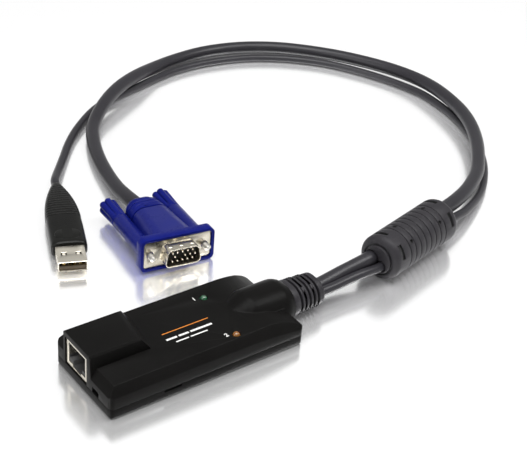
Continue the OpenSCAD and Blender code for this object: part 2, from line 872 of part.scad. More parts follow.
module led_leads()
    color(nickel)
        for (p = lamp_places, s = [-1, 1])
            translate([p.x + s * lamp_pitch / 2 - lamp_wire / 2, p.y - lamp_wire / 2, board_top])
                cube([lamp_wire, lamp_wire, lamp_base_z - board_top]);

// ---- Recovery switch

switch_x0 = x_front + wall + fit;

module recovery_switch_body()
    color([0.10, 0.10, 0.10])
        difference() {
            translate([switch_x0, slot_y - switch_w / 2, board_top])
                cube([switch_depth, switch_w, switch_h]);
            translate([switch_x0 - over, slot_y - slot_w / 2, board_top + window_z])
                cube([over + window_depth, slot_w, window_h]);
        }

module recovery_switch_slider() {
    shoe_y = slot_y - switch_travel / 2;
    mid_z = board_top + window_z + window_h / 2;
    color([0.16, 0.16, 0.16]) {
        translate([switch_x0, shoe_y - shoe_w / 2, mid_z - shoe_h / 2])
            cube([window_depth - fit, shoe_w, shoe_h]);
        translate([x_front + tip_setback, shoe_y - tip_w / 2, mid_z - tip_h / 2])
            cube([switch_x0 - x_front, tip_w, tip_h]);
    }
}

// ---- Strain relief

function slot_x(i) = x_neck + boot_collar + i * slot_pitch;
function boot_r_at(x) = x < slot_x(0) ? boot_r
    : boot_r + (boot_tip_r - boot_r) * (x - slot_x(0)) / (x_boot - slot_x(0));

function boot_skin(slots) = concat(
    [[x_neck + fit, boot_r - boot_edge / 2], [x_neck + fit + boot_edge / 2, boot_r]],
    [for (i = [0:slots - 1]) each [[slot_x(i), boot_r_at(slot_x(i))],
        [slot_x(i), boot_r_at(slot_x(i)) - slot_deep],
        [slot_x(i) + slot_wide, boot_r_at(slot_x(i)) - slot_deep],
        [slot_x(i) + slot_wide, boot_r_at(slot_x(i) + slot_wide)]]],
    [[x_boot - boot_edge, boot_r_at(x_boot - boot_edge)], [x_boot, boot_tip_r - boot_edge]]);

boot_root = [[x_neck - boot_root_len, boot_root_r],
    [x_neck - boot_groove_from_end - fit, boot_root_r],
    [x_neck - boot_groove_from_end - fit, boot_groove_r],
    [x_neck - boot_groove_from_end + boot_groove_w - fit, boot_groove_r],
    [x_neck - boot_groove_from_end + boot_groove_w - fit, boot_root_r],
    [x_neck + fit, boot_root_r]];

module strain_relief_boot()
    color(lead_grey)
        translate([0, 0, lead_z]) {
            oval_body(concat(boot_root, boot_skin(boot_slots)), boot_gap);
            intersection() {
                oval_body(concat([[x_neck + boot_collar / 2, boot_r]],
                    [[x_boot - boot_edge, boot_r_at(x_boot - boot_edge)]]), boot_gap);
                for (i = [0:boot_slots - 1], s = [-1, 1],
                     a = i % 2 == 0 ? [low_web_angle] : [low_web_angle, high_web_angle])
                    translate([slot_x(i) - fit, s * boot_gap, 0])
                        rotate([s * -a, 0, 0])
                            translate([0, -web_w / 2, boot_tip_r - slot_deep - fit])
                                cube([slot_wide + 2 * fit, web_w, slot_deep + boot_r]);
            }
        }

// ---- Leads

module vga_cable()
    color(lead_grey)
        tube(vga_route, vga_lead_d, vga_sides, [1, 0, 0], -vga_dir);

module usb_cable()
    color(lead_grey)
        tube(usb_route, usb_lead_d, usb_sides, [1, 0, 0], -heading(usb_yaw));

// ---- Ferrite sleeve, in its own frame along +X

module at_ferrite()
    translate(ferrite_mid)
        rotate([0, 0, ferrite_yaw])
            children();

module ferrite_core()
    color([0.20, 0.20, 0.21])
        at_ferrite()
            rotate([0, 90, 0])
                difference() {
                    cylinder(h = core_len, r = core_d / 2, center = true);
                    cylinder(h = core_len + over, r = core_bore_d / 2, center = true);
                }

function groove_at(x) = [[x - ferrite_groove_w / 2, ferrite_d / 2],
    [x - ferrite_groove_w / 2, ferrite_d / 2 - ferrite_groove_deep],
    [x + ferrite_groove_w / 2, ferrite_d / 2 - ferrite_groove_deep],
    [x + ferrite_groove_w / 2, ferrite_d / 2]];
ferrite_half = concat(
    arc([ferrite_len / 2 - ferrite_end_r, ferrite_d / 2 - ferrite_end_r], ferrite_end_r, 90, 0, mouth_steps),
    [[ferrite_len / 2 - ring_groove_deep, end_boss_r + ring_groove_w],
     [ferrite_len / 2 - ring_groove_deep, end_boss_r],
     [ferrite_len / 2 + end_boss_out / 2, end_boss_r],
     [ferrite_len / 2 + end_boss_out, end_boss_r - end_boss_out / 2]]);
ferrite_skin = concat(
    [[-ferrite_len / 2 - end_boss_out, 0]],
    [for (i = [len(ferrite_half) - 1:-1:0]) [-ferrite_half[i].x, ferrite_half[i].y]],
    [for (i = [0:ferrite_grooves - 1]) each groove_at((i - (ferrite_grooves - 1) / 2) * ferrite_groove_pitch)],
    ferrite_half,
    [[ferrite_len / 2 + end_boss_out, 0]]);

// Bore for a lead, with a lead-in at both ends
module lead_bore(at, d)
    translate([0, at.x, at.y])
        for (m = [0, 1])
            mirror([m, 0, 0])
                rotate([0, 90, 0]) {
                    cylinder(h = ferrite_len / 2 + end_boss_out + over, r = d / 2 + bore_gap);
                    translate([0, 0, ferrite_len / 2 + end_boss_out - lead_in])
                        cylinder(h = lead_in, r1 = d / 2 + bore_gap, r2 = d / 2 + bore_gap + lead_in / 2);
                }

module ferrite_overmould()
    color(lead_grey)
        at_ferrite()
            difference() {
                rotate([0, 90, 0])
                    rotate_extrude()
                        polygon([for (p = ferrite_skin) [p.y, p.x]]);
                rotate([0, 90, 0])
                    difference() {
                        cylinder(h = core_len + 2 * core_gap, r = core_d / 2 + core_gap, center = true);
                        cylinder(h = core_len + over, r = core_bore_d / 2 - core_gap, center = true);
                    }
                lead_bore(sleeve_vga_at, vga_lead_d);
                lead_bore(sleeve_usb_at, usb_lead_d);
                for (m = [0, 1], half = [0, half_turn]) {
                    for (a = side_slot_angles)
                        mirror([m, 0, 0])
                            rotate([a + half, 0, 0])
                                translate([ferrite_len / 2 - side_slot_from_end - side_slot.x / 2,
                                    -side_slot.y / 2, ferrite_d / 2 - side_slot.z])
                                    cube([side_slot.x, side_slot.y, side_slot.z + over]);
                    for (a = side_dot_angles)
                        mirror([m, 0, 0])
                            rotate([a + half, 0, 0])
                                translate([ferrite_len / 2 - side_dot_from_end, 0, ferrite_d / 2 - side_dot_deep])
                                    cylinder(h = side_dot_deep + over, r = side_dot_d / 2);
                }
            }

// ---- Video plug, in its own frame: +X from the face plate to the lead

module at_vga()
    translate([vga_at.x, vga_at.y, vga_z])
        rotate([vga_roll, vga_pitch, vga_yaw])
            children();

// D outline, wide side down, as a polygon with arcs of radius r at its corners
function d_shape(w, h, r) = let (low = w / 2, high = w / 2 - h * tan(dshell_slant),
    inner = 90 - dshell_slant, outer = 90 + dshell_slant,
    cl = low - r / tan(inner / 2), ch = high - r / tan(outer / 2))
    concat(arc([cl, -h / 2 + r], r, -90, dshell_slant, mouth_steps),
        arc([ch, h / 2 - r], r, dshell_slant, 90, mouth_steps),
        arc([-ch, h / 2 - r], r, 90, half_turn - dshell_slant, mouth_steps),
        arc([-cl, -h / 2 + r], r, half_turn - dshell_slant, 270, mouth_steps));

module d_bar(x0, x1, inset)
    translate([x0, 0, 0])
        rotate([90, 0, 90])
            linear_extrude(x1 - x0)
                polygon(d_shape(dshell_w - 2 * inset, dshell_h - 2 * inset, dshell_r - inset));

module on_screw_axes()
    for (s = [-1, 1])
        translate([0, s * jackscrew_pitch / 2, 0])
            rotate([0, 90, 0])
                children();

module vga_overmould()
    color(plug_blue)
        at_vga()
            difference() {
                union() {
                    round_bar(-vga_rim, vga_flange_t, vga_flange_w, vga_flange_h, vga_corner_r);
                    hull() {
                        round_bar(vga_flange_t - fit, vga_flange_t, vga_hood_front_w, vga_hood_h, vga_hood_r);
                        round_bar(hood_step_x(0) - fit, hood_step_x(0), vga_hood_rear_w, vga_hood_h, vga_hood_r);
                    }
                    for (i = [0:vga_hood_steps - 1])
                        hood_step(i);
                    on_screw_axes()
                        translate([0, 0, vga_flange_t - fit])
                            cylinder(h = sleeve_end - vga_flange_t + fit, r = knob_d / 2);
                }
                round_bar(-vga_rim - over, vga_plate_t, vga_plate_w + fit, vga_plate_h + fit, vga_plate_r);
                on_screw_axes()
                    translate([0, 0, -over])
                        cylinder(h = sleeve_end + 2 * over, r = jackscrew_shank_r + run_gap);
            }

// One ring of the hood's stepped tail: a thin waist, then a narrower ring
function hood_step_x(i) = vga_hood_len - (vga_hood_steps - i) * vga_step_len;

module hood_step(i) {
    x = hood_step_x(i);
    inset = (i + 1) * vga_step_in;
    round_bar(x - fit, x + vga_step_groove, vga_hood_rear_w - 2 * inset, vga_hood_h - 2 * inset,
        vga_hood_r - inset);
    round_bar(x + vga_step_groove - fit, x + vga_step_len, vga_hood_rear_w - 2 * inset + vga_step_in,
        vga_hood_h - 2 * inset + vga_step_in, vga_hood_r - inset + vga_step_in / 2);
}

module vga_shell()
    color(nickel)
        at_vga()
            difference() {
                union() {
                    round_bar(0, vga_plate_t, vga_plate_w, vga_plate_h, vga_plate_r);
                    d_bar(-dshell_out, fit, 0);
                }
                d_bar(-dshell_out - over, vga_plate_t + over, dshell_t);
                on_screw_axes()
                    translate([0, 0, -over])
                        cylinder(h = 2 * over + vga_plate_t, r = jackscrew_shank_r + plate_hole_gap);
            }

module vga_insulator()
    color([0.04, 0.04, 0.05])
        at_vga()
            d_bar(-insulator_out, vga_plate_t, dshell_t + fit / 2);

module vga_pins()
    color(gold)
        at_vga()
            for (row = [-1, 0, 1], i = [0:pins_per_row - 1])
                if (row != 0 || i != missing_pin)
                    translate([-pin_out, (2 - i) * pin_pitch - (row == 0 ? pin_pitch / 2 : 0), row * pin_row])
                        rotate([0, 90, 0])
                            cylinder(h = pin_out - insulator_out, r = pin_r);

module jackscrew(side)
    color(nickel)
        at_vga()
            translate([0, side * jackscrew_pitch / 2, 0])
                rotate([0, 90, 0]) {
                    translate([0, 0, -jackscrew_out])
                        cylinder(h = jackscrew_out, r = jackscrew_r);
                    cylinder(h = sleeve_end + thumb_gap + jackscrew_in, r = jackscrew_shank_r);
                }

module knob(side)
    color(plug_blue)
        at_vga()
            translate([sleeve_end + thumb_gap, side * jackscrew_pitch / 2, 0])
                rotate([0, 90, 0])
                    difference() {
                        linear_extrude(knob_len)
                            difference() {
                                circle(knob_d / 2);
                                for (i = [0:flute_count - 1])
                                    rotate(360 * i / flute_count)
                                        translate([knob_d / 2 + flute_r - flute_sink, 0])
                                            circle(flute_r);
                            }
                        translate([0, 0, -over])
                            cylinder(h = over + jackscrew_in, r = jackscrew_shank_r + fit / 2);
                    }

module left_screw() jackscrew(1);
module left_knob() knob(1);
module right_screw() jackscrew(-1);
module right_knob() knob(-1);

// ---- USB plug, in its own frame: +X from the mouth to the lead

module at_usb()
    translate([usb_at.x, usb_at.y, usb_z])
        rotate([0, 0, usb_yaw])
            children();

// Superellipse section of the grip
function power_of(v, e) = sign(v) * pow(abs(v), 2 / e);
function grip_ring(x, w, h, e) = [for (k = [0:grip_sides - 1]) let (a = 360 * (k + 1 / 2) / grip_sides)
    [x, w / 2 * power_of(cos(a), e), h / 2 * power_of(sin(a), e)]];

// Stations of the grip: [x, width, height, squareness]
rib_count2 = 2 * grip_ribs;
function taper(k) = 1 - pow(k, tip_power);
grip_stations = concat(
    [for (i = [0:len(grip_x_shares) - 1]) [grip_x_shares[i] * grip_len, grip_w_shares[i] * grip_w,
        grip_h_shares[i] * grip_h, grip_squareness]],
    [for (i = [0:rib_count2]) let (k = i / rib_count2, cut = i % 2 == 1 ? rib_deep : 0)
        [(rib_from_share + (rib_to_share - rib_from_share) * k) * grip_len,
         grip_w * (tip_w_share + (1 - tip_w_share) * taper(k)) - 2 * cut,
         grip_h * (tip_h_share + (1 - tip_h_share) * taper(k)) - 2 * cut,
         grip_squareness + (tip_squareness - grip_squareness) * k]],
    [[grip_len, usb_lead_d + 2 * fit, usb_lead_d + 2 * fit, tip_squareness]]);

module usb_overmould()
    color([0.10, 0.10, 0.10])
        at_usb()
            difference() {
                union() {
                    translate([usb_shell_len, 0, 0])
                        polyhedron([for (s = grip_stations) each grip_ring(s[0], s[1], s[2], s[3])],
                            skin(len(grip_stations), grip_sides));
                    translate([usb_shell_len + pad_from_front, 0, grip_h / 2 - pad_embed])
                        hull()
                            for (s = [-1, 1])
                                translate([0, s * (pad_len - pad_w) / 2, 0])
                                    cylinder(h = pad_embed, r = pad_w / 2, $fn = 32);
                }
                translate([usb_shell_len - over, -usb_shell_w / 2 - fit / 2, -usb_shell_h / 2 - fit / 2])
                    cube([over + usb_shell_in + fit, usb_shell_w + fit, usb_shell_h + fit]);
            }

module usb_shell()
    color(nickel)
        at_usb()
            difference() {
                translate([0, -usb_shell_w / 2, -usb_shell_h / 2])
                    cube([usb_shell_len + usb_shell_in, usb_shell_w, usb_shell_h]);
                translate([-over, -usb_shell_w / 2 + usb_shell_t, -usb_shell_h / 2 + usb_shell_t])
                    cube([usb_shell_len + usb_shell_in + 2 * over, usb_shell_w - 2 * usb_shell_t,
                        usb_shell_h - 2 * usb_shell_t]);
                for (s = [-1, 1])
                    translate([usb_hole_from_mouth - usb_hole.x / 2, s * usb_hole_side - usb_hole.y / 2,
                        -usb_shell_h])
                        cube([usb_hole.x, usb_hole.y, 2 * usb_shell_h]);
            }

module usb_tongue()
    color([0.08, 0.08, 0.08])
        at_usb()
            translate([tongue_setback, -tongue_w / 2, -usb_shell_h / 2 + usb_shell_t])
                cube([usb_shell_len + usb_shell_in - tongue_setback, tongue_w, tongue_t]);

module usb_contacts()
    color(gold)
        at_usb()
            for (y = [-usb_contact_outer / 2, -usb_contact_inner / 2, usb_contact_inner / 2, usb_contact_outer / 2])
                translate([tongue_setback + usb_contact_setback, y - usb_contact_w / 2,
                    -usb_shell_h / 2 + usb_shell_t + tongue_t])
                    cube([usb_contact_len, usb_contact_w, usb_contact_t]);

lower_cover();
upper_cover();
case_screws();
circuit_board();
controller_chip();
line_driver_chip();
crystal_can();
cable_headers();
rj45_housing();
rj45_shield();
rj45_contacts();
online_led();
power_led();
led_leads();
recovery_switch_body();
recovery_switch_slider();
strain_relief_boot();
vga_cable();
usb_cable();
ferrite_core();
ferrite_overmould();
vga_overmould();
vga_shell();
vga_insulator();
vga_pins();
left_screw();
left_knob();
right_screw();
right_knob();
usb_overmould();
usb_shell();
usb_tongue();
usb_contacts();
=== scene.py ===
# %% [markdown]
# # A network console adapter, dressed for its photograph
# The module plugs into a computer and sends its screen and keys down one network cable. Its
# packed solids already give every size and place. This script lays the two leads, copies each
# solid that shows and softens its edges as a mould or a die would, adds the small parts that
# moulding and stamping leave, and gives every surface a procedural finish. Lengths are written
# in millimetres, and `MM` turns them into Blender's metres.

# %% The packed frame
import json
from math import cos, pi, radians, sin

import bmesh
import bpy
from mathutils import Matrix, Vector


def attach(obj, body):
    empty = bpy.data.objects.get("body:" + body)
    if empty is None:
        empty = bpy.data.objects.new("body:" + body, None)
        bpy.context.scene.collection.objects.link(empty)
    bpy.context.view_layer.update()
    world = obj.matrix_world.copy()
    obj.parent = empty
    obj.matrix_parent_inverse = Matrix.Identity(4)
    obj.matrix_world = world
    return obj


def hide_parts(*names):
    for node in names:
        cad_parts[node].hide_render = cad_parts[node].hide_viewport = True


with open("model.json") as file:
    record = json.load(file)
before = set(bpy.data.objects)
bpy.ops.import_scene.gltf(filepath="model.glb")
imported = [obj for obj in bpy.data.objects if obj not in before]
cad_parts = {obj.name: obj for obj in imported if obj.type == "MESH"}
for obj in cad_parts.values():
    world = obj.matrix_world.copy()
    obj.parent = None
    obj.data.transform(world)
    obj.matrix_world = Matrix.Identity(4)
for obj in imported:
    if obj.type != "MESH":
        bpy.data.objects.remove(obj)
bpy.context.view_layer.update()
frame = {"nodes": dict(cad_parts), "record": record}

MM = 0.001
scene = bpy.context.scene
bpy.ops.object.select_all(action="DESELECT")

# %% [markdown]
# A catalogue photographer stands well back with a long lens, so that the near corner of the case
# isn't swollen. The camera could be turned by hand until the outlines fit, but here its place,
# target and roll were solved from the connectors, whose sizes are standard, and three crossed
# directions make its rotation exact.

# %% The camera
EYE = Vector((-220.35, -314.9, 301.5)) * MM
TARGET = Vector((72.5, 49.31, 0.0)) * MM
ROLL = radians(4.66)

look = (TARGET - EYE).normalized()
level = look.cross(Vector((0, 0, 1))).normalized()
upright = level.cross(look)
right = level * cos(ROLL) + upright * sin(ROLL)
up = upright * cos(ROLL) - level * sin(ROLL)

bpy.ops.object.camera_add(location=EYE)
camera = bpy.context.object
camera.name = "photo_camera"
camera.rotation_euler = Matrix((right, up, -look)).transposed().to_euler()
camera.data.lens = 87
camera.data.sensor_width = 36
camera.data.clip_start = 10 * MM
scene.camera = camera
bpy.context.view_layer.update()
print("camera to target in mm", round((TARGET - EYE).length / MM))

# %% [markdown]
# ## Writing shaders as formulas
# A material's wiring is hard to read when each sum is three lines of nodes and links. `Value`
# wraps a socket and overloads the operators, so that a formula reads as a formula and adds its
# own Math nodes.

# %% A socket that can be calculated with
class Value:
    def __init__(self, tree, socket):
        self.tree = tree
        self.socket = socket

    def math(self, operation, first, second, clamp=False):
        node = self.tree.nodes.new("ShaderNodeMath")
        node.operation = operation
        node.use_clamp = clamp
        for place, item in enumerate((first, second)):
            if isinstance(item, Value):
                self.tree.links.new(item.socket, node.inputs[place])
            else:
                node.inputs[place].default_value = item
        return Value(self.tree, node.outputs[0])

    def __add__(self, other):
        return self.math("ADD", self, other)

    def __radd__(self, other):
        return self.math("ADD", other, self)

    def __sub__(self, other):
        return self.math("SUBTRACT", self, other)

    def __rsub__(self, other):
        return self.math("SUBTRACT", other, self)

    def __mul__(self, other):
        return self.math("MULTIPLY", self, other)

    def __rmul__(self, other):
        return self.math("MULTIPLY", other, self)

    def limited(self):
        return self.math("MULTIPLY", self, 1.0, clamp=True)


print("operators that add a Math node: + - *")

# %% [markdown]
# Every other node comes from one method, which sets what the node is first and then what goes
# into its sockets. The world and the table use it as well as the finishes.

# %% A tree of nodes
class Wiring:
    def __init__(self, tree):
        self.tree = tree

    def node(self, kind, settings=None, sockets=None):
        node = self.tree.nodes.new(kind)
        for key, item in (settings or {}).items():
            setattr(node, key, item)
        for key, item in (sockets or {}).items():
            if isinstance(item, Value):
                item = item.socket
            if isinstance(item, bpy.types.NodeSocket):
                self.tree.links.new(item, node.inputs[key])
            else:
                node.inputs[key].default_value = item
        return node

    def value(self, kind, output, settings=None, sockets=None):
        return Value(self.tree, self.node(kind, settings, sockets).outputs[output])


print("node kinds come from", Wiring.node.__name__)

# %% [markdown]
# A finish is one Principled shader. Numbers that are the same all over a surface go straight onto
# its sockets, and only colour, roughness and the bump vary. Patterns read Object coordinates,
# because each piece keeps its place in its mesh, so a grain has the same size on every piece.

# %% A finish
class Finish(Wiring):
    def __init__(self, name, colour, roughness, metallic=0.0):
        self.material = bpy.data.materials.new(name)
        self.material.use_nodes = True
        super().__init__(self.material.node_tree)
        self.shader = self.tree.nodes["Principled BSDF"]
        self.all_over("Base Color", (*colour, 1))
        self.all_over("Roughness", roughness)
        self.all_over("Metallic", metallic)
        self.coords = self.node("ShaderNodeTexCoord").outputs["Object"]

    def all_over(self, socket, number):
        self.shader.inputs[socket].default_value = number

    def varying(self, socket, value):
        self.tree.links.new(value.socket, self.shader.inputs[socket])

    def noise(self, scale, detail=2.0, coords=None):
        return self.value("ShaderNodeTexNoise", "Fac", sockets={
            "Scale": scale, "Detail": detail, "Vector": coords or self.coords})

    def stretched(self, scales):
        mapping = self.node("ShaderNodeMapping", sockets={"Scale": scales, "Vector": self.coords})
        return mapping.outputs["Vector"]

    def tint(self, first, second, factor):
        mix = self.node("ShaderNodeMix", {"data_type": "RGBA"},
                        {0: factor.limited(), 6: (*first, 1), 7: (*second, 1)})
        self.tree.links.new(mix.outputs[2], self.shader.inputs["Base Color"])

    def bump(self, height, depth, strength):
        bump = self.node("ShaderNodeBump", sockets={
            "Strength": strength, "Distance": depth, "Height": height})
        self.tree.links.new(bump.outputs["Normal"], self.shader.inputs["Normal"])


print("a finish sets", [name for name in vars(Finish) if not name.startswith("__")])

# %% [markdown]
# ## Plastics
# The mould of a case is spark-eroded, which leaves a fine even grain. Soft PVC has a coarser,
# slightly mottled skin, and handling changes the gloss of both in slow patches. A picture of
# grain could be wrapped on, but two noises at the real scale, fine for the grain and slow for the
# patches, need no unwrapping and show no seam. `shine` lowers the mirror part where the photograph
# keeps a plastic black.

# %% Moulded plastics
PATCH_CONTRAST = 1.3
PATCH_OFFSET = 0.15
GLOSS_BY_PATCH = 0.12
GLOSS_BY_GRAIN = 0.06
GRAIN_STRENGTH = 0.5


def moulded(name, dark, light, roughness, grain=3800, depth=0.03, mottle=60, shine=0.5):
    finish = Finish(name, dark, roughness)
    fine = finish.noise(grain, 2)
    slow = finish.noise(mottle, 3)
    finish.tint(dark, light, slow * PATCH_CONTRAST - PATCH_OFFSET)
    smoothest = roughness - GLOSS_BY_PATCH / 2
    finish.varying("Roughness", smoothest + GLOSS_BY_PATCH * slow + GLOSS_BY_GRAIN * fine)
    finish.bump(fine, depth * MM, GRAIN_STRENGTH)
    finish.all_over("Specular IOR Level", shine)
    return finish


case_black = moulded("case_black", (0.0045, 0.0043, 0.0041), (0.0070, 0.0067, 0.0064), 0.32,
                     shine=0.045)
socket_black = moulded("socket_black", (0.008, 0.008, 0.008), (0.012, 0.012, 0.012), 0.42, 5200)
boot_grey = moulded("boot_grey", (0.019, 0.0178, 0.0205), (0.027, 0.0253, 0.029), 0.46,
                    2600, 0.035, 90, shine=0.2)
sheath_grey = moulded("sheath_grey", (0.019, 0.0182, 0.0215), (0.026, 0.0247, 0.029), 0.32,
                      1900, 0.02, 70, shine=0.28)
plug_blue = moulded("plug_blue", (0.0035, 0.0065, 0.112), (0.005, 0.010, 0.150), 0.25,
                    3000, 0.012, 80, shine=0.07)
grip_black = moulded("grip_black", (0.004, 0.004, 0.004), (0.008, 0.008, 0.007), 0.26,
                     2800, 0.012, 80, shine=0.14)
PLASTICS = (case_black, socket_black, boot_grey, sheath_grey, plug_blue, grip_black)
print("plastics on the outside", [plastic.material.name for plastic in PLASTICS])

# %% [markdown]
# The small plastics: the brown tongue in the USB plug, the near-black in the sleeve's slots, which
# is painted shade that also stands for the dark core seen through them, the pin carrier, the
# switch, the board and what stands on it, and two printing inks. They are the same recipe with
# other numbers, so one function makes them all.

# %% Small plastics and inks
tongue_brown = moulded("tongue_brown", (0.040, 0.026, 0.008), (0.060, 0.038, 0.012), 0.3, 3000)
# Painted shade for the sleeve's grooves, slots and dots, also standing for the dark core seen
# through the slots.
slot_core_and_shade = moulded("slot_core_and_shade", (0.004, 0.004, 0.004), (0.006, 0.006, 0.006), 0.7, 1500)
insulator_black = moulded("insulator_black", (0.010, 0.010, 0.011), (0.015, 0.015, 0.016), 0.5,
                          4000)
switch_black = moulded("switch_black", (0.014, 0.014, 0.014), (0.02, 0.02, 0.02), 0.45, 4500)
board_green = moulded("board_green", (0.01, 0.09, 0.035), (0.015, 0.12, 0.05), 0.3, 900, 0.01)
chip_black = moulded("chip_black", (0.012, 0.012, 0.013), (0.02, 0.02, 0.02), 0.55, 3000)
nylon = moulded("nylon", (0.62, 0.6, 0.54), (0.7, 0.68, 0.62), 0.5, 2000)
ferrite_grey = moulded("ferrite_grey", (0.03, 0.03, 0.032), (0.05, 0.05, 0.05), 0.6, 1500)
white_ink = moulded("label_white", (0.72, 0.72, 0.70), (0.80, 0.80, 0.78), 0.5, 3000)
amber_ink = moulded("amber_print", (0.55, 0.16, 0.01), (0.62, 0.2, 0.015), 0.5, 3000)
SMALL = (tongue_brown, slot_core_and_shade, insulator_black, switch_black, board_green, chip_black, nylon,
         ferrite_grey, white_ink, amber_ink)
print("small plastics and inks", len(SMALL))

# %% [markdown]
# ## Metals
# Plated sheet shows the rolling direction as fine lines, and fingers leave smudges. A noise
# stretched along one axis gives the lines, and an even one the smudges. Turned and stamped parts
# that have no direction get an even noise instead.

# %% Plated metals
SMUDGE_SCALE = 220
SMUDGE_GLOSS = 0.1
LINE_GLOSS = 0.05
LINE_DEPTH = 0.004
LINE_STRENGTH = 0.4
EVEN_FINE = (700, 700, 700)
EVEN_FINER = (900, 900, 900)


def plated(name, colour, roughness, brush):
    finish = Finish(name, colour, roughness, 1.0)
    lines = finish.noise(1.0, 2, finish.stretched(brush))
    smudge = finish.noise(SMUDGE_SCALE, 3)
    smoothest = roughness - SMUDGE_GLOSS / 2
    finish.varying("Roughness", smoothest + LINE_GLOSS * lines + SMUDGE_GLOSS * smudge)
    finish.bump(lines, LINE_DEPTH * MM, LINE_STRENGTH)
    return finish


nickel = plated("nickel", (0.60, 0.56, 0.475), 0.19, (40, 40, 2400))
steel = plated("steel", (0.66, 0.64, 0.60), 0.28, EVEN_FINER)
shell_steel = plated("shell_steel", (0.84, 0.79, 0.68), 0.26, (60, 2400, 60))
gold = plated("gold", (0.80, 0.60, 0.25), 0.22, EVEN_FINE)
pin_plate = plated("pin_plate", (0.88, 0.82, 0.70), 0.2, EVEN_FINE)
tin = plated("tin", (0.70, 0.70, 0.70), 0.35, EVEN_FINER)
METALS = (nickel, steel, shell_steel, gold, pin_plate, tin)
print("metals", [metal.material.name for metal in METALS])

# %% [markdown]
# ## Lamps
# A lamp's epoxy is tinted and slightly cloudy, so light spreads under its skin. It is shown
# unlit, with a trace of glow that keeps its tint alive in the black case.

# %% Lamp lenses
HAZE_SCALE = 900
CLEAREST, HAZE = 0.08, 0.1
CLOUDINESS, CLOUD_DEPTH = 0.35, 1.2
LENS_COAT = 0.5
TRACE_OF_GLOW = 0.04


def lens(name, colour, glow):
    finish = Finish(name, colour, CLEAREST)
    haze = finish.noise(HAZE_SCALE, 2)
    finish.varying("Roughness", CLEAREST + HAZE * haze)
    finish.all_over("Subsurface Weight", CLOUDINESS)
    finish.all_over("Subsurface Scale", CLOUD_DEPTH * MM)
    finish.all_over("Coat Weight", LENS_COAT)
    finish.all_over("Emission Color", (*glow, 1))
    finish.all_over("Emission Strength", TRACE_OF_GLOW)
    return finish


green_lens = lens("green_lens", (0.008, 0.075, 0.028), (0.01, 0.2, 0.06))
amber_lens = lens("amber_lens", (0.20, 0.075, 0.008), (0.5, 0.22, 0.02))
print("finishes in all", len(bpy.data.materials))

# %% [markdown]
# ## Shared steps
# The record says which body each node rides on and which slot its finish has. A new piece asks
# for its body by its node's name, so that no table is kept twice, and is handed its finish.

# %% Bodies and slots
RECORD = frame["record"]
BODY_OF = {node: body for body, nodes in RECORD["behaviour"]["bodies"].items() for node in nodes}


def active(obj):
    bpy.ops.object.select_all(action="DESELECT")
    obj.select_set(True)
    bpy.context.view_layer.objects.active = obj


def coated(obj, finish):
    obj.data.materials.clear()
    obj.data.materials.append(finish.material)


def stands_for(obj, node, finish):
    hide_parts(node)
    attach(obj, BODY_OF[node])
    coated(obj, finish)


def added_to_module(obj, finish):
    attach(obj, "module")
    coated(obj, finish)


print("nodes", len(BODY_OF), "on bodies", sorted(set(BODY_OF.values())))

# %% [markdown]
# A mesh looks round only when its faces point outwards and its gentle edges are shaded smooth,
# while the sharp ones stay sharp. Both are set by angle at the end of each piece.

# %% Outward faces and shading
def outward(obj, smooth=35):
    active(obj)
    bpy.ops.object.mode_set(mode="EDIT")
    bpy.ops.mesh.select_all(action="SELECT")
    bpy.ops.mesh.normals_make_consistent(inside=False)
    bpy.ops.object.mode_set(mode="OBJECT")
    bpy.ops.object.shade_smooth_by_angle(angle=radians(smooth))


def joined(objs, name):
    active(objs[0])
    for obj in objs:
        obj.select_set(True)
    bpy.ops.object.join()
    obj = bpy.context.object
    obj.name = name
    return obj


def cut_away(obj, tool):
    active(obj)
    cut = obj.modifiers.new("cut", "BOOLEAN")
    cut.object = tool
    bpy.ops.object.modifier_apply(modifier=cut.name)


print("helpers", outward.__name__, joined.__name__, cut_away.__name__)

# %% [markdown]
# A packed solid arrives as loose triangles with knife-sharp edges. No moulded or stamped edge is
# that sharp, and without a small radius it catches no light. So a copy is merged, its flat faces
# are joined again, and each edge past a given angle gets the radius of the mould. A cutter works
# before the faces are joined, and chosen edges can get a larger radius first.

# %% A softened copy of a packed solid
MERGE = 0.002 * MM
FLAT = radians(0.3)
CREASE = radians(25)
LARGE_RADIUS_STEPS = 4


def rounded_first(obj, chosen, radius):
    bpy.ops.mesh.select_mode(type="EDGE")
    bpy.ops.mesh.select_all(action="DESELECT")
    bpy.ops.mesh.edges_select_sharp(sharpness=CREASE)
    bpy.ops.object.mode_set(mode="OBJECT")
    for edge in obj.data.edges:
        ends = [obj.data.vertices[v].co / MM for v in edge.vertices]
        edge.select = edge.select and chosen(*ends)
    bpy.ops.object.mode_set(mode="EDIT")
    bpy.ops.mesh.bevel(offset=radius * MM, segments=LARGE_RADIUS_STEPS, affect="EDGES",
                       clamp_overlap=True)
    bpy.ops.mesh.select_mode(type="VERT")


def softened(node, finish, radius, segments=2, sharp=32, smooth=35, cutter=None, large=None):
    obj = bpy.data.objects.new(node + "_skin", frame["nodes"][node].data.copy())
    obj.data.name = obj.name
    scene.collection.objects.link(obj)
    active(obj)
    bpy.ops.object.mode_set(mode="EDIT")
    bpy.ops.mesh.select_all(action="SELECT")
    bpy.ops.mesh.remove_doubles(threshold=MERGE)
    bpy.ops.object.mode_set(mode="OBJECT")
    if cutter:
        cut_away(obj, cutter)
    bpy.ops.object.mode_set(mode="EDIT")
    bpy.ops.mesh.select_all(action="SELECT")
    bpy.ops.mesh.dissolve_limited(angle_limit=FLAT)
    if large:
        rounded_first(obj, *large)
    bpy.ops.object.mode_set(mode="OBJECT")
    if radius:
        bevel = obj.modifiers.new("edge", "BEVEL")
        bevel.width = radius * MM
        bevel.segments = segments
        bevel.limit_method = "ANGLE"
        bevel.angle_limit = radians(sharp)
        bevel.use_clamp_overlap = False
        bpy.ops.object.modifier_apply(modifier=bevel.name)
    outward(obj, smooth)
    stands_for(obj, node, finish)
    return obj


print("softening merges points closer than", round(MERGE / MM, 4), "mm")

